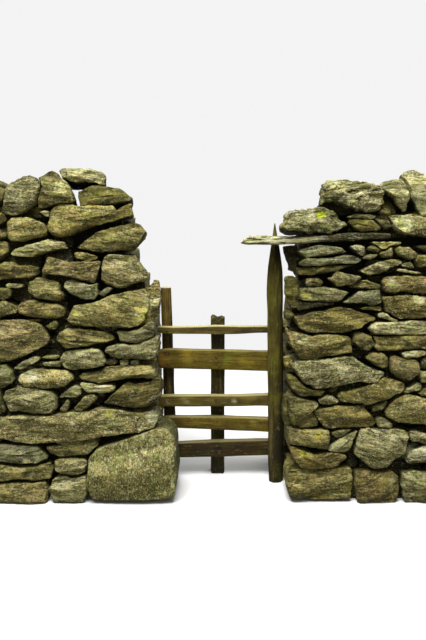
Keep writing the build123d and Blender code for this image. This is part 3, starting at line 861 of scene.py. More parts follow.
RIGHT_FACE = [
    ("foot_block", "brown", (0.4, 0.4, 0.4), 4, [
        (356, 472), (366, 470), (380, 472), (392, 471), (398, 478), (399, 490), (395, 502), (358, 502),
        (354, 486)]),
    ("foot_wide", "grey", (0.35, 0.5, 0.3), 7, [
        (402, 473), (412, 470.5), (424, 472), (438, 471), (448, 476), (450, 488), (446, 502), (404, 502),
        (401, 486)]),
    # cope_bed and cope_wedge are painted shade: near-black stones set back under the copes.
    ("cope_bed", "shadow", (0.2, 0.1, 0.3), -40, [
        (322, 202), (345, 203), (362, 206), (384, 205), (386, 214), (343, 215), (330, 208.5),
        (322, 208)]),
    ("cope_wedge", "shadow", (0.4, 0.1, 0.3), -50, [
        (377, 206), (384, 196), (392, 198), (400, 210), (397, 217), (380, 217)]),
    ("cap_behind", "dark", (0.7, 0.3, 0.2), -14, [
        (380, 217), (380, 211), (384, 208), (390, 209), (392, 214), (389, 218)]),
    ("cap_left", "deep", (0.4, 0.3, 0.4), 0, [
        (349, 221.5), (353, 220), (373, 220.5), (381, 228), (378, 230), (362, 231.8), (355, 229)]),
    ("cap_wedge", "deep", (0.4, 0.4, 0.4), 0, [
        (375, 219), (387, 220), (389, 222), (391, 228), (384, 229)]),
    ("cap_thin", "slate", (0.4, 0.4, 0.4), 0, [
        (346, 217), (356, 213), (376, 215.5), (376, 217.5), (371, 219)]),
    ("cap_flat", "olive", (0.3, 0.9, 0.2), 12, [
        (388, 216), (412, 215.5), (445, 220), (447, 236), (436, 239), (404, 234.5), (393, 227.5)]),
    ("light_wedge", "pale", (0.5, 0.5, 0.2), 4, [
        (371.5, 242), (402, 242), (398, 244.8), (389, 245.5), (386, 248.5), (381, 249)]),
    ("top_a", "slate", (0.4, 0.5, 0.2), 2, [
        (349, 246.5), (361, 245), (364, 247), (366, 252), (365, 256), (361, 256)]),
    ("top_b", "deep", (0.4, 0.3, 0.2), -2, [
        (367, 249), (371, 246), (376, 246.5), (380, 250), (379, 252.5), (368, 251)]),
    ("top_c", "brown", (0.4, 0.4, 0.2), 2, [
        (380, 253), (392, 247.5), (394, 254), (392, 258), (381, 257.5)]),
    ("top_round", "olive", (0.4, 0.5, 0.1), 8, [
        (395, 249), (399, 246.5), (410, 247.5), (416.5, 254), (416, 257.5), (411, 259.5), (406, 259),
        (396, 253)]),
    ("top_far", "dark", (0.5, 0.2, 0.2), -8, [
        (416, 246.5), (421, 244.5), (441, 246), (442, 252), (426, 252)]),
    ("far_block", "mossy", (0.5, 0.3, 0.3), 2, [
        (415, 256), (418, 254), (442, 255), (443, 266), (419, 267), (415, 262)]),
    ("shelf_mate", "slate", (0.4, 0.4, 0.3), 2, [
        (362, 258), (370, 254), (377, 254), (378, 255.5), (369, 260)]),
    ("slanted", "bright", (0.4, 0.4, 0.5), 6, [
        (360, 271), (380, 261.5), (399, 259.5), (402, 262.5), (381, 273), (369, 275)]),
    ("slanted_end", "bright", (0.4, 0.4, 0.3), 0, [
        (401, 264), (411, 262), (415, 268), (411, 269), (402, 266)]),
    ("pale_thin", "pale", (0.4, 0.6, 0.3), 2, [
        (396, 270), (400, 268.5), (421, 273.5), (417, 274.2), (398, 271.5)]),
    ("rhombus", "grey", (0.4, 0.4, 0.5), 8, [
        (327, 278), (332, 277.5), (334, 273), (337, 271), (361, 277.5), (353, 284.5), (338, 288),
        (335, 286.5), (334, 283)]),
    ("pin_head", "dark", (0.4, 0.4, 0.3), -2, [
        (305.5, 283), (307, 278), (319, 278.5), (323, 281.5), (323, 284.5), (320, 287), (307, 287)]),
    ("flat_a", "olive", (0.4, 0.4, 0.5), 0, [
        (349, 286.5), (359, 281.5), (366, 281), (380, 285), (381, 287), (377, 289), (351, 288)]),
    ("far_long_a", "brown", (0.3, 0.5, 0.3), 8, [
        (382, 280), (385, 277.5), (396, 275.5), (441, 277), (442, 292), (426, 293.5), (400, 291.5),
        (394, 293.5), (386, 293), (383, 290)]),
    # lean_under is painted shade under the leaning head.
    ("lean_under", "shadow", (0.3, 0.2, 0.4), -8, [
        (301, 302), (335, 302), (333, 305.5), (320, 306), (298, 311)]),
    ("grey_wedge", "slate", (0.4, 0.5, 0.4), 6, [
        (343, 302.5), (350, 299), (358, 291.5), (379, 290.5), (382, 303), (372, 306), (363, 303)]),
    ("far_long_b", "deep", (0.4, 0.5, 0.6), 8, [
        (383, 297), (410, 294.5), (442, 298), (443, 317), (400, 318.5), (385, 311)]),
    ("pin_long", "mossy", (0.4, 0.3, 0.3), -4, [
        (360, 309), (366, 307.5), (380, 306), (383, 308.5), (381, 312)]),
    ("pin_slant", "bleached", (0.3, 0.6, 0.2), 2, [
        (378, 314), (383, 313), (398, 320.5), (395, 322.5), (379, 317)]),
    ("knob", "brown", (0.4, 0.4, 0.3), 4, [
        (354, 333), (359, 332), (371, 336), (374, 340), (374, 345), (368, 351), (363, 350),
        (352, 341.5)]),
    ("far_flat_a", "bleached", (0.3, 0.8, 0.3), 8, [
        (368, 329), (371, 325), (376, 323), (414, 321), (442, 322), (443, 333), (396, 335), (374, 334)]),
    ("far_flat_b", "olive", (0.5, 0.4, 0.5), 6, [
        (373, 336.5), (443, 335), (443, 348), (378, 350.5), (374, 347.5), (376, 342)]),
    ("small_block", "deep", (0.3, 0.4, 0.2), 2, [
        (366, 358), (371, 352.5), (384, 353), (387, 355), (388, 365), (386, 368), (382, 368.5),
        (369, 361.5)]),
    ("brown_round", "brown", (0.2, 0.4, 0.2), 8, [
        (390, 357), (394, 355.5), (405, 359), (417, 360), (419.5, 369), (418, 374), (410, 380.5),
        (397, 377.5), (392, 374), (390, 369)]),
    ("pale_pin", "bleached", (0.1, 0.6, 0.3), 2, [
        (401, 353), (420, 350), (426, 351), (426, 354.5), (417, 357.5), (405, 358)]),
    ("edge_pin", "bleached", (0.4, 0.5, 0.2), 0, [
        (420, 371.5), (441, 372), (442, 382), (426, 383), (421, 382.5)]),
    ("edge_dark", "shadow", (0.4, 0.2, 0.2), -12, [
        (421, 369), (422, 360), (426, 357), (441, 356), (442, 369)]),
    ("dark_pin", "deep", (0.0, 0.2, 0.3), -10, [
        (329, 391), (334, 388.5), (339, 388), (336, 391), (331, 393)]),
    ("great_slab", "deep", (0.35, 0.5, 0.5), 10, [
        (337, 398), (339, 393.5), (378, 382.5), (384, 377.5), (404, 383), (404, 387), (400, 391),
        (384, 400), (365, 405), (361, 403), (340, 401)]),
    ("leaf", "bleached", (0.4, 0.6, 0.3), 0, [
        (402, 392.5), (418, 382), (421, 384.5), (421.5, 388), (419, 390.5), (407, 393.5)]),
    ("edge_leaf", "deep", (0.4, 0.3, 0.2), -4, [
        (418, 394), (426, 389), (440, 389), (441, 396), (422, 396.5)]),
    ("low_pin", "slate", (0.3, 0.5, 0.2), 2, [
        (318, 401), (322, 397.5), (328, 395.5), (333, 396), (340, 402), (331, 405), (320, 403.5)]),
    ("low_leaf", "bleached", (0.3, 0.5, 0.2), -2, [
        (371, 410), (374, 406.5), (386, 401), (388.5, 402.5), (383, 409.5), (373, 412)]),
    ("big_round", "olive", (0.35, 0.6, 0.2), 16, [
        (384, 413), (386, 408), (395, 398), (400, 395.5), (410, 394), (441, 402), (444, 420), (426, 424),
        (396, 421.5), (386, 416.5)]),
    ("low_long", "deep", (0.25, 0.5, 0.3), 10, [
        (312, 410), (337, 406), (362, 405), (373, 417), (374.5, 421), (373, 425.5), (330, 428),
        (323, 426.5)]),
    ("low_knob", "slate", (0.5, 0.4, 0.2), 0, [
        (376, 422), (378, 418.5), (383, 418), (393, 424.5), (391, 428.5), (379, 427.5)]),
    ("low_wedge", "grey", (0.3, 0.3, 0.3), -2, [
        (331.5, 433.5), (336, 431), (352, 429.5), (341, 437), (336, 437.5)]),
    ("low_tri", "pale", (0.3, 0.5, 0.2), 6, [
        (328, 450.5), (341, 438), (357, 430.5), (349, 450.5), (344, 452)]),
    ("base_boulder", "grey", (0.25, 0.7, 0.4), 20, [
        (360, 428), (368, 427), (376, 429), (400, 428.5), (406, 430), (408, 434), (404, 452), (390, 461),
        (386, 466.5), (373, 467), (367, 464.5), (353, 452.5)]),
    ("edge_slab", "bright", (0.3, 0.6, 0.6), 8, [
        (408, 430.5), (413, 430), (428, 435), (441, 437), (441, 445), (426, 444), (411, 440)]),
    ("edge_white", "slate", (0.2, 0.9, 0.3), 12, [
        (404.5, 460), (413, 449.5), (428, 445.5), (441, 446), (442, 460), (408, 463)]),
]
RIGHT_HEADS = [
    ("right_upper_head", "slate", (0.25, 0.5, 0.3), 6, [
        (298, 250.5), (316, 245.3), (341, 247), (347, 252), (343, 254), (306, 258)]),
    ("right_shelf_stone", "slate", (0.5, 0.3, 0.5), 14, [
        (300, 262.5), (303, 259.5), (330, 258.5), (346, 254.5), (360, 258.5), (361, 260.5), (356, 263),
        (302, 266.5)]),
    ("right_leaning_head", "slate", (0.5, 0.5, 0.3), 4, [
        (300, 300), (300.5, 288.5), (326, 287), (349, 292), (341, 300), (335, 301.5)]),
    ("right_long_head", "deep", (0.35, 0.5, 0.5), 6, [
        (295, 318), (314, 311.5), (323, 311), (338, 307), (345, 307.5), (374, 316.5), (376, 319),
        (357, 329), (342, 332.5), (312, 332.5), (304, 330.5), (299, 327)]),
    ("right_squared_head", "olive", (0.15, 0.4, 0.4), 8, [
        (287, 334), (288, 329), (290, 332), (313, 336.5), (321, 334.5), (349, 336), (351, 340),
        (352, 352), (322, 357), (318, 359.5), (306, 360), (300, 358.5), (289, 344)]),
    ("right_great_head", "grey", (0.25, 0.9, 0.2), 12, [
        (293.5, 364), (297, 361), (330, 359), (345, 356), (353, 357), (370, 367.5), (384, 372),
        (384, 375), (380, 378), (379, 381), (373, 383), (359, 381.5), (326, 388), (315, 388), (303, 383),
        (293, 368)]),
    ("right_wedge_stone", "deep", (0.7, 0.2, 0.4), -2, [
        (288, 376), (293, 376), (306, 387), (312, 390), (325, 390), (323, 394), (319, 396.5), (300, 396),
        (291, 389.5)]),
    ("right_corner_stone", "deep", (0.3, 0.3, 0.3), 6, [
        (289, 396.5), (316, 402), (319, 405), (311, 410), (318, 421), (318, 425.5), (302, 428),
        (292, 424), (289, 414)]),
    ("right_low_block", "olive", (0.35, 0.5, 0.5), 10, [
        (288, 429), (294, 428), (300, 429.5), (325, 429.5), (329, 431), (330, 437), (328, 448.5),
        (322, 449), (288.5, 443.5)]),
    ("right_foot_stone", "brown", (0.45, 0.4, 0.4), 14, [
        (289, 446), (295, 446.5), (301, 450), (316, 454.5), (332, 452), (347, 455), (345, 458.5),
        (334, 466), (308, 469.5), (301, 468), (293, 458)]),
]
RIGHT_COPES = [
    ("right_lap_stone", "grey", (0.5, 0.6, 0.3), 10, [
        (279, 227), (283, 222), (285, 213), (291, 209.5), (322, 207.5), (333, 212.5), (348, 225),
        (340, 230.5), (330, 233.8), (285, 230.8)]),
    ("right_layered_cope", "grey", (0.45, 0.6, 0.9), 10, [
        (319.5, 206), (321, 184), (328, 180.5), (345, 179.5), (378, 186), (383, 191.5), (384, 204),
        (377, 211), (366, 212), (334, 202.5), (325, 203)]),
    ("right_leaning_cope", "bright", (0.4, 0.6, 0.3), 6, [
        (380, 185.5), (384, 181.5), (402, 178.5), (408.5, 190), (409, 196), (406, 210), (403, 213),
        (392, 197), (381, 188.5)]),
    ("right_upright_cope", "bleached", (0.3, 0.9, 0.2), 12, [
        (400, 176), (404, 171.5), (412, 170.5), (440, 180), (448, 195), (446, 212), (436, 217),
        (420, 216.5), (405, 181)]),
]
# Stones seen end on in the gap's sides, by the head they belong to: tone, traits, how far
# they stand proud in millimetres and outline in pixels of the photograph.
REVEALS = {
    "left_great_head": ("olive", (0.3, 0.7, 0.3), -22, [
        (137, 326), (142, 318), (145, 304), (143, 290), (157, 280), (160, 291), (160, 303), (157, 316),
        (151, 325)]),
    # The reveal under the tie slab is painted shade.
    "right_upper_head": ("shadow", (0.3, 0.1, 0.3), -70, [
        (284.5, 246), (299, 245), (300, 262), (297, 273), (291, 268), (287, 260)]),
    "right_shelf_stone": ("dark", (0.5, 0.2, 0.4), 2, [
        (297, 268), (355, 264.5), (338, 270.5), (312, 275), (298, 275)]),
    "right_leaning_head": ("dark", (0.6, 0.2, 0.3), -60, [
        (286, 277), (295, 276), (301, 285), (301, 309), (294, 309), (290, 305), (285.5, 291)]),
    "right_long_head": ("dark", (0.2, 0.2, 0.2), -50, [
        (285.5, 312), (292, 311), (296, 316), (292, 321), (286, 320)]),
    "right_great_head": ("olive", (0.3, 0.3, 0.2), -50, [
        (285.5, 359), (293, 358), (298, 374), (290, 374), (286, 368)]),
    "right_corner_stone": ("dark", (0.3, 0.2, 0.3), -50, [
        (285, 398), (290, 397), (293, 410), (294, 427), (290, 429), (285.5, 427)]),
}
# The stone under the right wall's foot, and the boulder under the left wall's head.
FOOTING = [
    (288, 471), (300, 469.5), (322, 470), (345, 467), (352, 470), (353, 484), (350, 499), (290, 499),
    (286, 486),
]
BOULDER = [
    (89, 457), (95, 450.5), (103, 446), (155, 428.5), (164, 429), (171, 433), (175.5, 442), (177, 478),
    (174, 497), (160, 499), (102, 499), (91, 496), (87, 484),
]

# The head stones of each wall, from the ground up.
LEFT_STACK = [row[0] for row in reversed(LEFT_HEADS)]
RIGHT_STACK = [row[0] for row in reversed(RIGHT_HEADS)] + ["right_lap_stone"]
# How far the rear stone of each head stands back from the gap's edge.
REAR_SET_BACK = {
    "left_cap_stone": 0.170, "left_wedge_head": 0.132, "left_square_head": 0.112, "left_great_head": 0.060,
    "right_upper_head": 0.070, "right_shelf_stone": 0.062, "right_leaning_head": 0.040,
    "right_long_head": 0.012,
}
LEAST_SET_BACK = 0.002
FANNED = ("left_cap_stone", "left_wedge_head", "left_square_head")
ROUGH_COPES = {"right_lap_stone": 2.1, "right_layered_cope": 1.8, "left_top_slab": 1.4}
HIDDEN_COPES = ("left_far_cope", "left_outer_cope", "right_far_cope", "right_outer_cope")

# Clearance of stones that meet inside the wall, over the ground and at the wall's ends,
# and of an outline inside its box.
CLEAR = 0.004
INSIDE = 0.003
# How far the planes of the ends, the gap's foot and the top are sunk, for their stones'
# unevenness.
SUNK = 0.012
WALL_END = WALL_REACH - CLEAR
# A stone's depth turns with the line of sight: not at all at this reach from the gap's
# middle, and fully from this much nearer on, by the slant at this depth.
FAN_REACH = 1.36
FAN_FADE = 0.76
FAN_DEPTH = -0.2
# Behind this depth a head stone keeps clear of the gap. In front of it its outline counts.
GAP_DEPTH = -0.135

# A stone's corners are cut by a share of its shorter side there, and its sides are bent
# in or out at a place along them.
CORNER_CUT = (0.10, 0.42)
CUT_SHARE = (0.4, 1.0)
BEND_AT = (0.35, 0.65)
BEND_IN = (-0.06, 0.16)
# Usual heights of the courses and lengths of their stones, how courses differ, how their
# beds sway and how their joints lean.
COURSE = (0.07, 0.13)
LENGTH = (0.14, 0.40)
COURSE_SPREAD = (0.75, 1.25)
BED_SWAY = 0.22
JOINT_LEAN = 0.022
# A cell higher than this becomes, by this chance, three stones: one below and two above it,
# split at these shares of its height and its length.
SPLIT_COURSE = 0.085
SPLIT_CHANCE = 0.45
SPLIT_AT = (0.35, 0.62)
HALVED_AT = (0.35, 0.65)
# The unseen stones: the range of each trait, how far they stand in and out, and their
# tones, in their mix.
UNSEEN_TRAITS = ((0.08, 0.32), (0.2, 0.6), (0.2, 0.6))
UNSEEN_PROUD = (-0.008, 0.008)
MIX = ["olive", "grey", "olive", "brown", "slate", "olive", "grey", "mossy", "bright", "dark"]
# Height of a course of the outer ends, and of the zone behind the footing boulder.
END_COURSE = 0.13
BOULDER_ZONE = 0.35
# Where the packing begins, out from the gap's middle: heights and places.
LEFT_PACKING = ((1.0, 1.07, 1.25, 1.45), (0.41, 0.53, 0.56, 0.64))
RIGHT_PACKING = ((0.0, 1.5), (0.42, 0.44))


def seeded(name):
    """A seed that belongs to a name."""
    return sum((i + 1) * ord(letter) for i, letter in enumerate(name)) % 9973


def wall_half(name):
    """Half of the wall's thickness at the middle of a node's height."""
    low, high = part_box(name)
    return half_thickness((low[2] + high[2]) / 2)


def between(first, second, share):
    return np.array(first) * (1 - share) + np.array(second) * share


def rough_polygon(corners, rng, joint=0.003):
    """A stone outline that fills a four-cornered cell, its own corners knocked off."""
    corners = np.array(corners, float)
    centre = corners.mean(axis=0)
    points = []
    for i in range(4):
        here, after, before = corners[i], corners[(i + 1) % 4], corners[i - 1]
        to_after, to_before = np.linalg.norm(after - here), np.linalg.norm(before - here)
        nib = rng.uniform(*CORNER_CUT) * min(to_after, to_before)
        ahead = (after - here) / max(to_after, TINY)
        back = (before - here) / max(to_before, TINY)
        points.append(here + back * nib * rng.uniform(*CUT_SHARE))
        points.append(here + ahead * nib * rng.uniform(*CUT_SHARE))
        middle = here + (after - here) * rng.uniform(*BEND_AT)
        points.append(middle + (centre - middle) * rng.uniform(*BEND_IN))
    points = np.array(points)
    inward = centre - points
    return points + inward / np.linalg.norm(inward, axis=1, keepdims=True) * joint


def fan(points):
    """Turn a stone's depth along the line of sight, more so close to the gap."""
    reach = points[:, 1] + half_thickness(points[:, 2].mean())
    blend = np.clip((FAN_REACH - np.abs(points[:, 0])) / FAN_FADE, 0, 1)
    slant = (points[:, 0] - CAMERA[0]) / (FAN_DEPTH - CAMERA[1])
    points[:, 0] += slant * blend * np.maximum(reach, 0)
    return points


def behind_gap(side):
    """A function that keeps a stone's end out of the gap, with a rough face."""
    def keep(points):
        rough = 0.005 * (1 + noise(points, 0.035, 5)) + 0.004 * (1 + noise(points, 0.013, 6))
        limit = GAP_EDGE + LEAST_SET_BACK + rough
        inner = points[:, 1] > GAP_DEPTH
        clear = side * np.maximum(points[:, 0] * side, limit)
        points[:, 0] = np.where(inner, clear, points[:, 0])
        return points

    return keep


def box_outline(face, node, seed):
    """Outline in a face's own directions of a node's box, a little uneven."""
    low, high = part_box(node)
    rng = np.random.default_rng(seed)
    start, end = sorted((low[0] * face.axes[0][0], high[0] * face.axes[0][0]))
    bottom = low[2] / RISE + INSIDE
    top = high[2] / RISE - INSIDE
    wide, tall = end - start, top - bottom
    return np.array([
        (start + INSIDE, bottom + rng.uniform(0, 0.12) * tall),
        (start + wide * 0.4, bottom),
        (end - INSIDE, bottom + rng.uniform(0, 0.12) * tall),
        (end - rng.uniform(0, 0.04) * wide, top - rng.uniform(0.0, 0.12) * tall),
        (start + wide * rng.uniform(0.4, 0.6), top),
        (start + rng.uniform(0, 0.04) * wide, top - rng.uniform(0, 0.12) * tall),
    ])


def through_heads(rows, side):
    """Head stones of a wall: a traced stone in front and its mate behind."""
    keep = behind_gap(side)
    at_gap = {"keep": keep, "open_side": side}

    def fanned(points):
        return keep(fan(points))

    for name, tone, traits, proud, pixels in rows:
        shape = Shape()
        seed = seeded(name)
        middle = wall_half(name)
        joint = np.random.default_rng(seed).uniform(-0.06, 0.06)
        add_stone(shape, FRONT, traced(pixels), middle + joint - CLEAR, seed, TONES[tone], traits,
                  proud=proud / 1000, taper=0.03, facets=5, keep=fanned if name in FANNED else keep,
                  open_side=side)
        rear = box_outline(BACK, name, seed)
        edge = GAP_EDGE + REAR_SET_BACK.get(name, LEAST_SET_BACK)
        rear[:, 0] = -side * np.maximum(-side * rear[:, 0], edge)
        add_stone(shape, BACK, rear, middle - joint - CLEAR, seed + 5, TONES[tone] * 0.95, traits,
                  taper=0.03, bulge=0.25, spacing=0.012, **at_gap)
        if name in REVEALS:
            own_tone, own_traits, out, spots = REVEALS[name]
            add_stone(shape, FRONT, traced(spots), 0.2, seed + 9, TONES[own_tone], own_traits,
                      proud=out / 1000, **at_gap)
        if name == "right_foot_stone":
            add_stone(shape, FRONT, traced(FOOTING), middle, 901, TONES["olive"], traits, facets=11, **at_gap)
        finish_piece(shape.object(name + "_stones", STONE), "wall_stone", name)


def add_cope(name, outline, depth, tone, traits, seed, **form):
    """A piece of one stone in place of the node with its name."""
    shape = Shape()
    add_stone(shape, FRONT, outline, depth, seed, tone, traits, **form)
    finish_piece(shape.object(name + "_stone", STONE), "wall_stone", name)


def lay_copes(rows):
    for name, tone, traits, proud, pixels in rows:
        add_cope(name, traced(pixels), 2 * wall_half(name) - 0.01, TONES[tone], traits, seeded(name),
                 proud=proud / 1000, taper=0.06, rough=ROUGH_COPES.get(name, 1.0), keep=fan)


def lay_hidden_copes(names):
    """Copes past the photograph's edge, with an uneven outline inside the box of their node."""
    for name in names:
        low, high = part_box(name)
        seed = seeded(name)
        bottom, top = low[2] / RISE, high[2] / RISE
        corners = [(low[0], bottom), (high[0], bottom), (high[0], top), (low[0], top)]
        outline = rough_polygon(corners, np.random.default_rng(seed), CLEAR)
        add_cope(name, outline, 2 * wall_half(name), TONES["olive"], (0.4, 0.5, 0.4), seed,
                 taper=0.06, facets=16)


def courses(left, right, bottom, top, seed, tall=COURSE, wide=LENGTH):
    """Outlines of roughly coursed rubble that fill a rectangle of a wall face."""
    rng = np.random.default_rng(seed)
    count = max(1, round((top - bottom) / rng.uniform(*tall)))
    shares = np.cumsum([0] + [rng.uniform(*COURSE_SPREAD) for _ in range(count)])
    levels = bottom + shares / shares[-1] * (top - bottom)

    def bed(row, x):
        if row in (0, count):
            return levels[row]
        sway = noise(np.array([[x, row * 0.7, seed * 0.3]]), 0.16, seed)[0]
        return levels[row] + BED_SWAY * (top - bottom) / count * sway

    stones = []
    for row in range(count):
        start, lean = left, 0.0
        while start < right - 0.02:
            end = start + rng.uniform(*wide)
            next_lean = rng.uniform(-JOINT_LEAN, JOINT_LEAN)
            if end > right - 0.6 * wide[0]:
                end, next_lean = right, 0.0
            cell = [(start - lean, bed(row, start)), (end - next_lean, bed(row, end)),
                    (end + next_lean, bed(row + 1, end)), (start + lean, bed(row + 1, start))]
            if levels[row + 1] - levels[row] > SPLIT_COURSE and rng.random() < SPLIT_CHANCE:
                near = between(cell[0], cell[3], rng.uniform(*SPLIT_AT))
                far = between(cell[1], cell[2], rng.uniform(*SPLIT_AT))
                stones.append(rough_polygon([cell[0], cell[1], far, near], rng))
                share = rng.uniform(*HALVED_AT)
                foot, head = between(near, far, share), between(cell[3], cell[2], share)
                stones.append(rough_polygon([near, foot, head, cell[3]], rng))
                stones.append(rough_polygon([foot, far, cell[2], head], rng))
            else:
                stones.append(rough_polygon(cell, rng))
            start, lean = end, next_lean
    return stones


def fill(shape, face, area, seed, tall=COURSE, wide=LENGTH, depth=0.12, set_back=0.0, shade=1.0,
         spacing=0.013):
    """Cover an area of a face, given as left, right, bottom and top, with coursed stones."""
    rng = np.random.default_rng(seed)
    for i, outline in enumerate(courses(*area, seed, tall, wide)):
        tone = TONES[MIX[rng.integers(len(MIX))]] * shade
        traits = [rng.uniform(*span) for span in UNSEEN_TRAITS]
        add_stone(shape, face, outline, depth, seed * 31 + i, tone, traits,
                  proud=rng.uniform(*UNSEEN_PROUD) - set_back, spacing=spacing, facets=5, bulge=0.42)


def hearting(shape, side, packing, end, top, foot=0.012, inset=0.085, rows=26, steps=44, across=12):
    """The packing inside a wall: a rubbly body behind its facing stones, near black as painted shade."""
    rings = []
    for height in np.linspace(foot, top - 0.05, rows):
        half = half_thickness(height) - inset
        start = np.interp(height, *packing)
        front = [(x, -half) for x in np.linspace(start, end, steps)]
        back = [(x, half) for x in np.linspace(end, start, steps)]
        ends = [(end, y) for y in np.linspace(-half, half, across)[1:-1]]
        starts = [(start, y) for y in np.linspace(half, -half, across)[1:-1]]
        rings.append([(x * side, y, height) for x, y in front + ends + back + starts])
    grid = np.array(rings)
    if side < 0:
        grid = grid[:, ::-1]
    flat, normals = skin(grid)
    flat = flat + normals * (0.012 * noise(flat, 0.06, 11) + 0.006 * noise(flat, 0.025, 12))[:, None]
    # Near black: painted shade in the joints.
    tints = np.tile(TONES["dark"] * 0.10, (len(flat), 1))
    shape.add(flat, ring_faces(rows, grid.shape[1]), tints, (0.1, 0.0, 0.2), flat)


def head_levels(names, top):
    """Height range of each head stone and how far along the wall it reaches."""
    found = []
    for name in names:
        low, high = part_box(name)
        found.append([low[2], high[2], max(abs(low[0]), abs(high[0]))])
    found[-1][1] = top
    return found


def lay_wall(side, top, rows, heads, seed, seen, foot, packing):
    """A wall's masonry: the traced front, the unseen rest of it and its packing.

    The photograph shows the front as far out as seen and down to the height foot. Each
    area of the rest draws from a seed of its own, counted from seed.
    """
    name = "left_wall" if side < 0 else "right_wall"
    levels = head_levels(heads, top)
    front, back = Shape(), Shape()
    for own, tone, traits, proud, pixels in rows:
        add_stone(front, FRONT, traced(pixels), 0.13, seeded(own), TONES[tone], traits, proud=proud / 1000)

    reached = levels[0][0]
    for k, (low, high, reach) in enumerate(levels):
        start, stop = sorted((side * reach, side * WALL_END))
        # A near-black layer set back behind the traced stones: painted shade in the joints.
        fill(front, FRONT, (start, stop, low, high), seed + k, depth=0.08, set_back=0.05, shade=0.14,
             spacing=0.016)
        bed = reached if low - reached > 0.01 else low
        fill(back, BACK, (-stop, -start, bed, high), seed + 20 + k)
        reached = high
    beyond = sorted((side * seen, side * WALL_END))
    fill(front, FRONT, (*beyond, foot, top), seed + 41, spacing=0.010)
    below = sorted((side * (seen + 0.05), side * WALL_END))
    fill(front, FRONT, (*below, CLEAR, foot), seed + 42, tall=(0.12, 0.16), wide=(0.22, 0.42),
         spacing=0.011)

    if side < 0:
        behind_boulder = (GAP_EDGE + LEAST_SET_BACK, WALL_END, CLEAR, BOULDER_ZONE)
        fill(back, BACK, behind_boulder, seed + 43, tall=(0.1, 0.17), wide=(0.2, 0.42))
        reveal = Face((-GAP_EDGE - SUNK, 0, 0), (0, 1, 0), (0, 0, 1), (1, 0, 0))
        fill(back, reveal, (-0.07, 0.27, CLEAR, BOULDER_ZONE), seed + 44, tall=(0.1, 0.13),
             wide=(0.15, 0.25), depth=0.10)
    outer = Face((side * (WALL_END - SUNK), 0, 0), (0, side, 0), (0, 0, 1), (side, 0, 0))
    for k, low in enumerate(np.arange(CLEAR, top - 0.05, END_COURSE)):
        high = min(low + END_COURSE, top)
        half = half_thickness(high) - 0.01
        fill(back, outer, (-half, half, low, high), seed + 50 + k, tall=(0.09, 0.14), wide=(0.16, 0.36))
    cover = Face((0, 0, top - SUNK), (1, 0, 0), (0, 1, 0), (0, 0, 1))
    half = half_thickness(top) - 0.01
    start, stop = sorted((side * levels[-1][2], side * WALL_END))
    fill(back, cover, (start, stop, -half, half), seed + 70, tall=(0.14, 0.2), wide=(0.16, 0.3), depth=0.05)
    hearting(front, side, packing, WALL_END - 0.07, top)
    finish_piece(front.object(name + "_front_stones", STONE), "wall_stone", name)
    finish_piece(back.object(name + "_back_stones", STONE), "wall_stone", name)


through_heads(LEFT_HEADS, -1)
through_heads(RIGHT_HEADS, 1)
lay_copes(LEFT_COPES)
lay_copes(RIGHT_COPES)
lay_hidden_copes(HIDDEN_COPES)
lay_wall(-1, LEFT_TOP, LEFT_FACE, LEFT_STACK, seed=100, seen=1.07, foot=0.305, packing=LEFT_PACKING)
lay_wall(1, RIGHT_TOP, RIGHT_FACE, RIGHT_STACK, seed=300, seen=1.0, foot=0.14, packing=RIGHT_PACKING)
add_cope("left_footing_boulder", traced(BOULDER), 0.27, tint(127, 120, 64), (0.25, 0.8, 0.0), seed=77,
         proud=0.024, bulge=1.05, facets=3, taper=0.02, rough=0.9, layering=0.5, worn=0.014)


# Timber.

# The rails' front, a pixel's size there, and how the grain is drawn out along each timber.
RAIL_FRONT = -0.045
PIXEL_AT_RAILS = 0.0051
ALONG_RAIL = np.array([0.22, 1, 1])
ALONG_POST = np.array([1, 1, 0.16])

# Each rail as seen in the photograph: pixel x, top edge and bottom edge.
RAILS = {
    "top_rail": [
        (155, 327.6, 332.6), (160, 327.2, 333.6), (173, 327.6, 334.0), (195, 327.0, 334.4),
        (211, 326.3, 334.8), (216, 326.2, 335.2), (240, 326.5, 334.2), (267, 326.5, 333.3),
        (288, 326.4, 333.2),
    ],
    "second_rail": [
        (157, 352.5, 366.5), (160, 350.6, 368.2), (166, 349.8, 368.6), (173, 349.6, 368.7),
        (190, 350.2, 369.4), (211, 350.7, 370.0), (240, 351.2, 370.8), (268, 352.0, 371.4),
        (288, 352.4, 371.6),
    ],
    "third_rail": [
        (152, 398.0, 406.6), (160, 396.6, 407.3), (173, 396.2, 407.0), (211, 395.8, 406.5),
        (240, 396.1, 406.2), (268, 395.0, 405.9), (288, 394.8, 405.8),
    ],
    "fourth_rail": [
        (158, 418.6, 426.4), (162, 417.8, 427.6), (175, 417.4, 428.6), (211, 417.3, 429.6),
        (240, 418.0, 431.0), (268, 419.0, 432.5), (288, 419.4, 433.0),
    ],
    "bottom_rail": [
        (172, 444.4, 457.6), (176, 443.6, 458.0), (211, 442.0, 457.2), (240, 441.2, 456.6),
        (268, 440.5, 455.6), (288, 440.2, 455.4),
    ],
}
# Colour, algae and how pale the top edge is.
RAIL_LOOKS = {
    "top_rail": (tint(78, 68, 37), 0.25, 0.58),
    "second_rail": (tint(108, 92, 22), 0.45, 0.12),
    "third_rail": (tint(98, 87, 38), 0.30, 0.36),
    "fourth_rail": (tint(97, 81, 21), 0.30, 0.18),
    "bottom_rail": (tint(56, 44, 16), 0.10, 0.18),
}

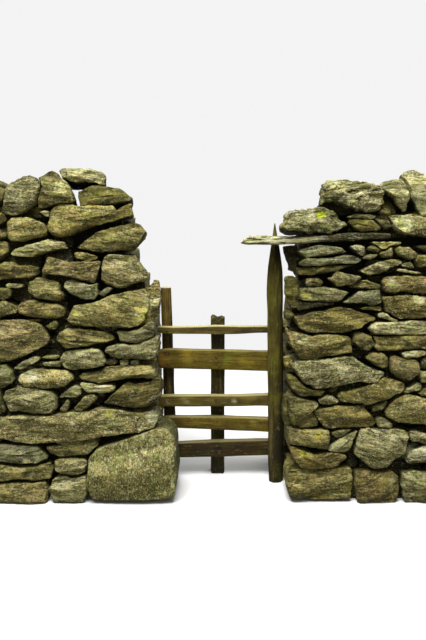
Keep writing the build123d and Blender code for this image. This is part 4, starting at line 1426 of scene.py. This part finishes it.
# Marks on the timber: pixel x and y, half width, half height and colour.
TIMBER_MARKS = [
    (214.5, 330.5, 4.5, 2.6, (44, 30, 14)), (163, 360, 7, 8, (138, 104, 36)),
    (167, 353.5, 3.5, 2.2, (60, 34, 16)), (228, 360, 5, 9, (112, 112, 28)),
    (186, 358, 6, 8, (140, 116, 30)), (247, 362, 8, 6, (142, 122, 26)),
    # The pale marks at (168, 403) and (234, 401) are painted glints.
    (168, 403, 2.2, 1.6, (206, 200, 176)), (217, 401.5, 2.4, 2.2, (52, 40, 22)),
    (234, 401, 2.6, 2.2, (196, 188, 150)), (239.5, 400, 1.6, 1.4, (44, 34, 18)),
    (185, 400, 7, 1.6, (176, 166, 122)), (255, 399, 8, 1.6, (164, 152, 100)),
    (218, 446, 5, 8, (36, 27, 9)), (254, 423, 8, 3, (150, 134, 60)), (276, 300, 5, 9, (98, 90, 44)),
    # The near-black mark at (275.5, 251) is painted shadow on the tall post under the tie slab.
    (275, 396, 3, 22, (88, 76, 34)), (275.5, 251, 8, 7, (20, 17, 8)), (275.5, 272, 4, 8, (96, 90, 40)),
    (218, 385, 5, 9, (48, 44, 12)),
]


def with_marks(tints, points):
    """Blend each mark into the colours of the points round its place."""
    for px, py, wide, tall, colour in TIMBER_MARKS:
        x, z = plane_point(px, py, RAIL_FRONT)
        aside = (points[:, 0] - x) / (wide * PIXEL_AT_RAILS)
        off = np.hypot(aside, (points[:, 2] - z) / (tall * PIXEL_AT_RAILS))
        ragged = off * (1 + 0.3 * noise(points, 0.02, 93))
        share = (np.clip((1.2 - ragged) / 0.6, 0, 1) * (points[:, 1] < 0.0))[:, None]
        tints = tints * (1 - share) + tint(*colour) * share
    return tints


def around(turns, shift=0.0):
    """Even angles round a ring."""
    return [2 * math.pi * (k + shift) / turns for k in range(turns)]


def squared(angle, power, rise_power=None):
    """Point of a rounded square of half width 1: the smaller the power, the sharper its corners."""
    c, s = math.cos(angle), math.sin(angle)
    return math.copysign(abs(c) ** power, c), math.copysign(abs(s) ** (rise_power or power), s)


def edge_lines(marks, depth_y):
    """Stations along X and the heights of a top and a bottom edge, traced in the plane at depth_y."""
    found = [(*plane_point(x, top, depth_y), plane_point(x, bottom, depth_y)[1]) for x, top, bottom in marks]
    return [np.array(column) for column in zip(*found)]


def add_timber(node, label, slot, flat, faces, tints, green, worn, streaks, grain):
    """A timber piece in place of its node, with algae, paler upward faces and streaks as its traits."""
    shape = Shape()
    traits = np.column_stack([np.full(len(flat), green), worn, np.full(len(flat), streaks)])
    shape.add(flat, faces, with_marks(tints, flat), traits, grain)
    finish_piece(shape.object(node + label, WOOD), slot, node)


def add_rail(node, seed, rings=90, turns=40):
    """A nailed rail: split faces, waney edges and the ends worn back."""
    low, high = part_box(node)
    colour, green, pale_top = RAIL_LOOKS[node]
    xs, tops, bottoms = edge_lines(RAILS[node], RAIL_FRONT)
    centre_y = (low[1] + high[1]) / 2
    grid = []
    for x in np.linspace(low[0], high[0], rings):
        top = np.interp(x, xs, tops)
        bottom = np.interp(x, xs, bottoms)
        from_end = min(x - low[0], high[0] - x)
        close = 1 - 0.16 * max(0, 1 - from_end / 0.010) ** 2
        centre_z, half_z = (top + bottom) / 2, (top - bottom) / 2 * close
        half_y = (high[1] - low[1]) / 2 * close
        ring = [squared(angle, 0.26) for angle in around(turns)]
        grid.append([(x, centre_y + dy * half_y, centre_z + dz * half_z) for dy, dz in ring])
    flat, normals = skin(np.array(grid))
    along = flat * ALONG_RAIL
    relief = 0.0016 * noise(along, 0.02, seed) + 0.0022 * noise(along, 0.06, seed + 1)
    relief -= 0.0030 * np.maximum(0, noise(along * np.array([0.5, 1, 1]), 0.012, seed + 2) - 0.45)
    flat = flat + normals * relief[:, None]
    flat[:, 0] = np.clip(flat[:, 0], low[0], high[0])
    flat[:, 1] = np.minimum(flat[:, 1], high[1])
    shade = 1 + 0.22 * noise(along, 0.03, seed + 4)
    # Paler where the rail faces up.
    worn = np.clip(np.clip(normals[:, 2], 0, 1) ** 2 * pale_top * 1.4, 0, 1)
    tints = colour[None, :] * shade[:, None]
    add_timber(node, "_board", "rail_timber", flat, ring_faces(rings, turns), tints, green, worn, 0.5,
               flat + seed)


def add_column(node, foot, top, section, crown, seed, colour, green, pale_top, darker_low,
               rows=110, turns=72, cap=9):
    """An upright timber with its section and worn crown.

    It darkens downward: darker_low is by how much, and from what height.
    """
    foot, top = np.array(foot), np.array(top)
    grid = []
    for row in range(rows):
        share = row / (rows - 1)
        x, y, z = foot + (top - foot) * share
        ring = [section(angle, share) for angle in around(turns)]
        grid.append([(x + dx, y + dy, z + crown(dx, dy) * share ** 8) for dx, dy in ring])
    rim = [section(angle, 1.0) for angle in around(turns)]
    for step in range(1, cap + 1):
        scale = 1 - step / (cap + 0.4)
        ring = [(dx * scale, dy * scale) for dx, dy in rim]
        grid.append([(top[0] + dx, top[1] + dy, top[2] + crown(dx, dy)) for dx, dy in ring])
    flat, normals = skin(np.array(grid))
    along = flat * ALONG_POST
    side = np.repeat(np.arange(len(grid)) < rows, turns)
    relief = 0.0020 * noise(along, 0.016, seed) + 0.0024 * noise(along, 0.05, seed + 1)
    relief -= 0.0045 * np.maximum(0, noise(along * np.array([1, 1, 0.5]), 0.011, seed + 2) - 0.5)
    relief = np.where(side, relief, 0.0010 * noise(flat, 0.008, seed + 3))
    flat = flat + normals * relief[:, None]
    flat[:, 2] = np.maximum(flat[:, 2], 0.0)
    # Paler where the timber faces up.
    worn = np.clip(normals[:, 2], 0, 1) ** 2 * pale_top
    low_down = np.clip((darker_low[1] - flat[:, 2]) / 0.35, 0, 1)
    # Painted shade on the post's right side, stronger low down.
    right_side_shade = np.clip(normals[:, 0] * 1.4 - 0.2, 0, 1) * np.clip(-normals[:, 1] + 0.8, 0, 1)
    shade = 1 + 0.16 * noise(along, 0.02, seed + 4)
    shade *= 1 - (0.42 + 0.45 * low_down) * right_side_shade
    # Darker towards the bottom.
    shade *= 1 - darker_low[0] * low_down
    tints = colour[None, :] * shade[:, None]
    add_timber(node, "_timber", "post_timber", flat, ring_faces(len(grid), turns), tints, green, worn, 0.6,
               flat[:, [2, 0, 1]] + seed)


def add_left_post(x=-0.272, lean=0.020, height=1.020, radius=0.032, hewn=0.0045):
    """A round post, hewn flat where the rails lie and worn to a low dome."""
    axis_y = radius - hewn

    def section(angle, share):
        here = radius - 0.005 * share + 0.0012 * math.sin(3 * angle + 9 * share)
        dx, dy = here * math.cos(angle), here * math.sin(angle)
        return dx, max(dy, -axis_y)

    def crown(dx, dy):
        return 0.007 - 7 * (dx * dx + dy * dy)

    add_column("left_post", (x, axis_y, 0), (x - lean, axis_y, height), section, crown, seed=21,
               colour=tint(134, 110, 50), green=0.25, pale_top=0.9, darker_low=(0.80, 0.95))


# The worn top of the middle post: places across it and their heights.
MIDDLE_CROWN = [
    (-0.038, -0.009), (-0.031, 0.001), (-0.022, 0.004), (-0.013, 0.003), (-0.0075, -0.003),
    (-0.0045, -0.019), (-0.0020, -0.020), (0.0005, -0.006), (0.0035, -0.007), (0.0060, -0.021),
    (0.0085, -0.020), (0.0115, -0.007), (0.018, -0.002), (0.028, -0.002), (0.038, -0.010),
]


def add_middle_post(x=-0.020, height=0.866, half=0.0358):
    """A square post with two splits in its worn top."""
    low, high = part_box("middle_post")
    centre_y = (low[1] + high[1]) / 2
    places, rises = zip(*MIDDLE_CROWN)

    def section(angle, share):
        dx, dy = squared(angle, 0.22)
        return dx * half, dy * half

    def crown(dx, dy):
        rise = np.interp(dx + 0.10 * dy, places, rises)
        return rise + 0.05 * dy + 0.0026 * math.sin(dx * 520 + dy * 190) * math.cos(dy * 300)

    add_column("middle_post", (x, centre_y, 0), (x, centre_y, height), section, crown, seed=33,
               colour=tint(50, 44, 14), green=0.22, pale_top=0.05, darker_low=(0.50, 0.45), turns=88, cap=12)


# The tall post's radius at shares of its height.
TALL_PROFILE = [
    (0.0, 0.036), (0.1, 0.0385), (0.5, 0.039), (0.77, 0.0388), (0.82, 0.0368), (0.858, 0.0336),
    (0.89, 0.0278), (0.925, 0.0212), (0.95, 0.0158), (0.975, 0.0098), (0.99, 0.0064), (1.0, 0.0042),
]


def add_tall_post(foot_x=0.290, top_x=0.259, axis_y=-0.0795, height=1.352):
    """A round handhold post, its point hewn with five sides."""
    shares, radii = zip(*TALL_PROFILE)
    half_side = math.pi / 5

    def section(angle, share):
        radius = np.interp(share, shares, radii)
        hewn = min(1, max(0, (share - 0.80) / 0.08))
        turn = (angle + 0.4) % (2 * half_side) - half_side
        radius *= 1 + hewn * (math.cos(half_side) / math.cos(turn) - 0.90)
        radius += 0.0012 * math.sin(2 * angle + 11 * share)
        return 0.0012 + 1.04 * radius * math.cos(angle), radius * math.sin(angle)

    def crown(dx, dy):
        return 0.002 - 60 * (dx * dx + dy * dy)

    add_column("tall_post", (foot_x, axis_y, 0), (top_x, axis_y, height), section, crown, seed=45,
               colour=tint(92, 84, 30), green=0.40, pale_top=0.15, darker_low=(0.80, 0.66), rows=150, cap=4)


# The tie slab's front edge in the photograph: pixel x, top and bottom.
SLAB_EDGE = [
    (241.5, 242.6, 243.6), (245, 239.4, 244.4), (249, 236.6, 244.6), (256, 235.9, 244.4),
    (266, 236.2, 244.7), (278, 236.8, 245.2), (291, 237.0, 244.8), (306, 235.8, 243.4),
    (323, 235.2, 242.2), (334, 234.4, 241.8), (352, 233.0, 241.0), (366, 232.9, 240.4),
    (378, 232.6, 239.8), (388, 233.4, 239.2), (394, 234.6, 238.4),
]


def add_tie_slab(rings=170, turns=56):
    """A thin split slab: a ragged front edge, its face layered and bleached where it is bare, with painted
    shade where it runs in under the wall.
    """
    low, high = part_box("tie_slab")
    front, back = low[1] + 0.004, high[1]
    xs, tops, bottoms = edge_lines(SLAB_EDGE, front)
    grid = []
    for x in np.linspace(xs[0], high[0], rings):
        plan = min(1.0, 0.30 + (x - xs[0]) / 0.10)
        top = np.interp(x, xs, tops)
        bottom = np.interp(x, xs, bottoms)
        centre_z, half_z = (top + bottom) / 2, (top - bottom) / 2
        near = front + 0.004 * math.sin(x * 21)
        half_y = (back - near) / 2 * plan
        ring = [squared(angle, 0.30, 0.45) for angle in around(turns, 0.5)]
        grid.append([(x, near + half_y + dy * half_y, centre_z + dz * half_z) for dy, dz in ring])
    flat, normals = skin(np.array(grid))
    grain = np.column_stack([flat[:, 0] * 0.7, flat[:, 2] * 1.6, flat[:, 1]])
    steps = ledges(grain, 0.011, 71)
    relief = 0.0026 * steps + 0.0022 * noise(flat * np.array([0.5, 1, 1]), 0.022, 72)
    flat = flat + normals * relief[:, None]
    flat[:, 1] = np.minimum(flat[:, 1], back)
    # Bleached where the face is bare. Further in, under the wall's stones, a dark tone as painted shade.
    # Standing layers are lighter and sunk ones darker, as painted light and shade.
    bleached_not_shaded = np.clip((0.50 - flat[:, 0]) / 0.16, 0, 1)[:, None]
    tints = bleached_not_shaded * tint(232, 226, 200) + (1 - bleached_not_shaded) * tint(56, 52, 24)
    tints = tints * (1 + 0.22 * steps + 0.2 * noise(grain, 0.03, 73))[:, None]
    shape = Shape()
    shape.add(flat, ring_faces(rings, turns), tints, (0.12, 0.35, 0.9), grain)
    finish_piece(shape.object("tie_slab_stone", STONE), "tie_stone", "tie_slab")


# Nail heads in the rails: pixel x and y.
NAILS = [
    (167, 331), (215.2, 333.6), (167, 353.8), (168, 364), (216, 356.5), (219.5, 365.5), (168.5, 401),
    (217.6, 401.4), (169, 422.5), (217, 421.5), (219, 426.5), (216.5, 446), (219.5, 453),
]
# Rings of a domed head: radius and how far it stands out of the rail.
NAIL_RINGS = [(0.0052, -0.003), (0.0054, 0.0012), (0.0046, 0.0026), (0.0022, 0.0034)]


def add_nails(turns=14):
    """Domed, rusted heads driven into the front of the rails."""
    look = Look("rusted_steel", 0.7)
    rust = look.cloud(look.add("TexCoord", {})["Object"], 260.0)
    look.set_shader("Base Color", look.mix(look.ramp(rust, 0.4, 0.6), tint(62, 42, 28), tint(120, 92, 66)))
    look.set_shader("Metallic", 0.35)
    points, faces = [], []
    for px, py in NAILS:
        x, z = plane_point(px, py, RAIL_FRONT)
        faces += [[len(points) + i for i in face] for face in ring_faces(len(NAIL_RINGS), turns)]
        for radius, out in NAIL_RINGS:
            points += [(x + radius * math.cos(angle), RAIL_FRONT - out, z + radius * math.sin(angle))
                       for angle in around(turns)]
    mesh = bpy.data.meshes.new("rail_nails")
    mesh.from_pydata(points, [], faces)
    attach(new_object("rail_nails", mesh, look.material), "root")


add_tie_slab()
add_nails()
for index, rail in enumerate(RAILS):
    add_rail(rail, 60 + index)
add_left_post()
add_middle_post()
add_tall_post()


# Floor, light and camera.

# The backdrop and the floor, as the camera sees them and as they light the part.
SHOWN_WHITE = (0.90, 0.90, 0.90)
SHOWN_FLOOR = (0.80, 0.80, 0.79)
SKY_LIGHT = (0.33, 0.33, 0.32)
FLOOR_LIGHT = (0.24, 0.24, 0.18)
FAR_FLOOR_LIGHT = (0.05, 0.05, 0.05)
# Half of the floor's width, and where it begins and ends to fade.
FLOOR_HALF = 40
FLOOR_FADE = (1.2, 3.2)


def add_floor():
    """A pale floor that takes the shadow close by and fades into the backdrop."""
    look = Look("floor", 1.0, 0.0)
    seen = look.seen()
    look.set_shader("Base Color", look.mix(seen, FLOOR_LIGHT, SHOWN_FLOOR))
    glow = look.add("Emission", {"Color": look.mix(seen, FAR_FLOOR_LIGHT, SHOWN_WHITE)})
    place = look.add("TexCoord", {})["Object"]
    far = look.add("VectorMath", {0: place}, operation="LENGTH")["Value"]
    near_far = {0: look.ramp(far, *FLOOR_FADE), 1: look.shader.outputs[0], 2: glow[0]}
    surface = look.tree.nodes["Material Output"].inputs["Surface"]
    look.feed(surface, look.add("MixShader", near_far)[0])
    mesh = bpy.data.meshes.new("floor")
    corners = [(x * FLOOR_HALF, y * FLOOR_HALF, 0) for x, y in ((-1, -1), (1, -1), (1, 1), (-1, 1))]
    mesh.from_pydata(corners, [], [(0, 1, 2, 3)])
    new_object("floor", mesh, look.material)


def add_world():
    world = bpy.data.worlds.new("sky")
    bpy.context.scene.world = world
    world.use_nodes = True
    nodes = Nodes(world.node_tree)
    background = world.node_tree.nodes["Background"]
    nodes.feed(background.inputs["Color"], nodes.mix(nodes.seen(), SKY_LIGHT, SHOWN_WHITE))
    nodes.feed(background.inputs["Strength"], 1.0)


def add_lamp(name, place, aim, size, power):
    light = bpy.data.lights.new(name, "AREA")
    light.shape = "SQUARE"
    light.size = size
    light.energy = power
    lamp = bpy.data.objects.new(name, light)
    lamp.location = place
    lamp.rotation_euler = (Vector(aim) - Vector(place)).to_track_quat("-Z", "Y").to_euler()
    bpy.context.scene.collection.objects.link(lamp)


def add_camera():
    lens = bpy.data.cameras.new("camera")
    lens.sensor_fit = "VERTICAL"
    lens.sensor_height = SENSOR
    lens.lens = SENSOR * FOCAL_PX / IMAGE_HEIGHT
    lens.clip_end = 100
    camera = bpy.data.objects.new("camera", lens)
    camera.location = CAMERA
    camera.rotation_euler = (math.pi / 2 - PITCH, 0, 0)
    bpy.context.scene.collection.objects.link(camera)
    bpy.context.scene.camera = camera


add_floor()
add_world()
add_lamp("key", place=(-0.6, -2.3, 5.6), aim=(0, 0, 0.8), size=3.0, power=580)
add_lamp("back", place=(2.0, 4.0, 5.0), aim=(0, 0, 0.7), size=4.0, power=160)
add_camera()
bpy.context.scene.view_settings.view_transform = "Standard"
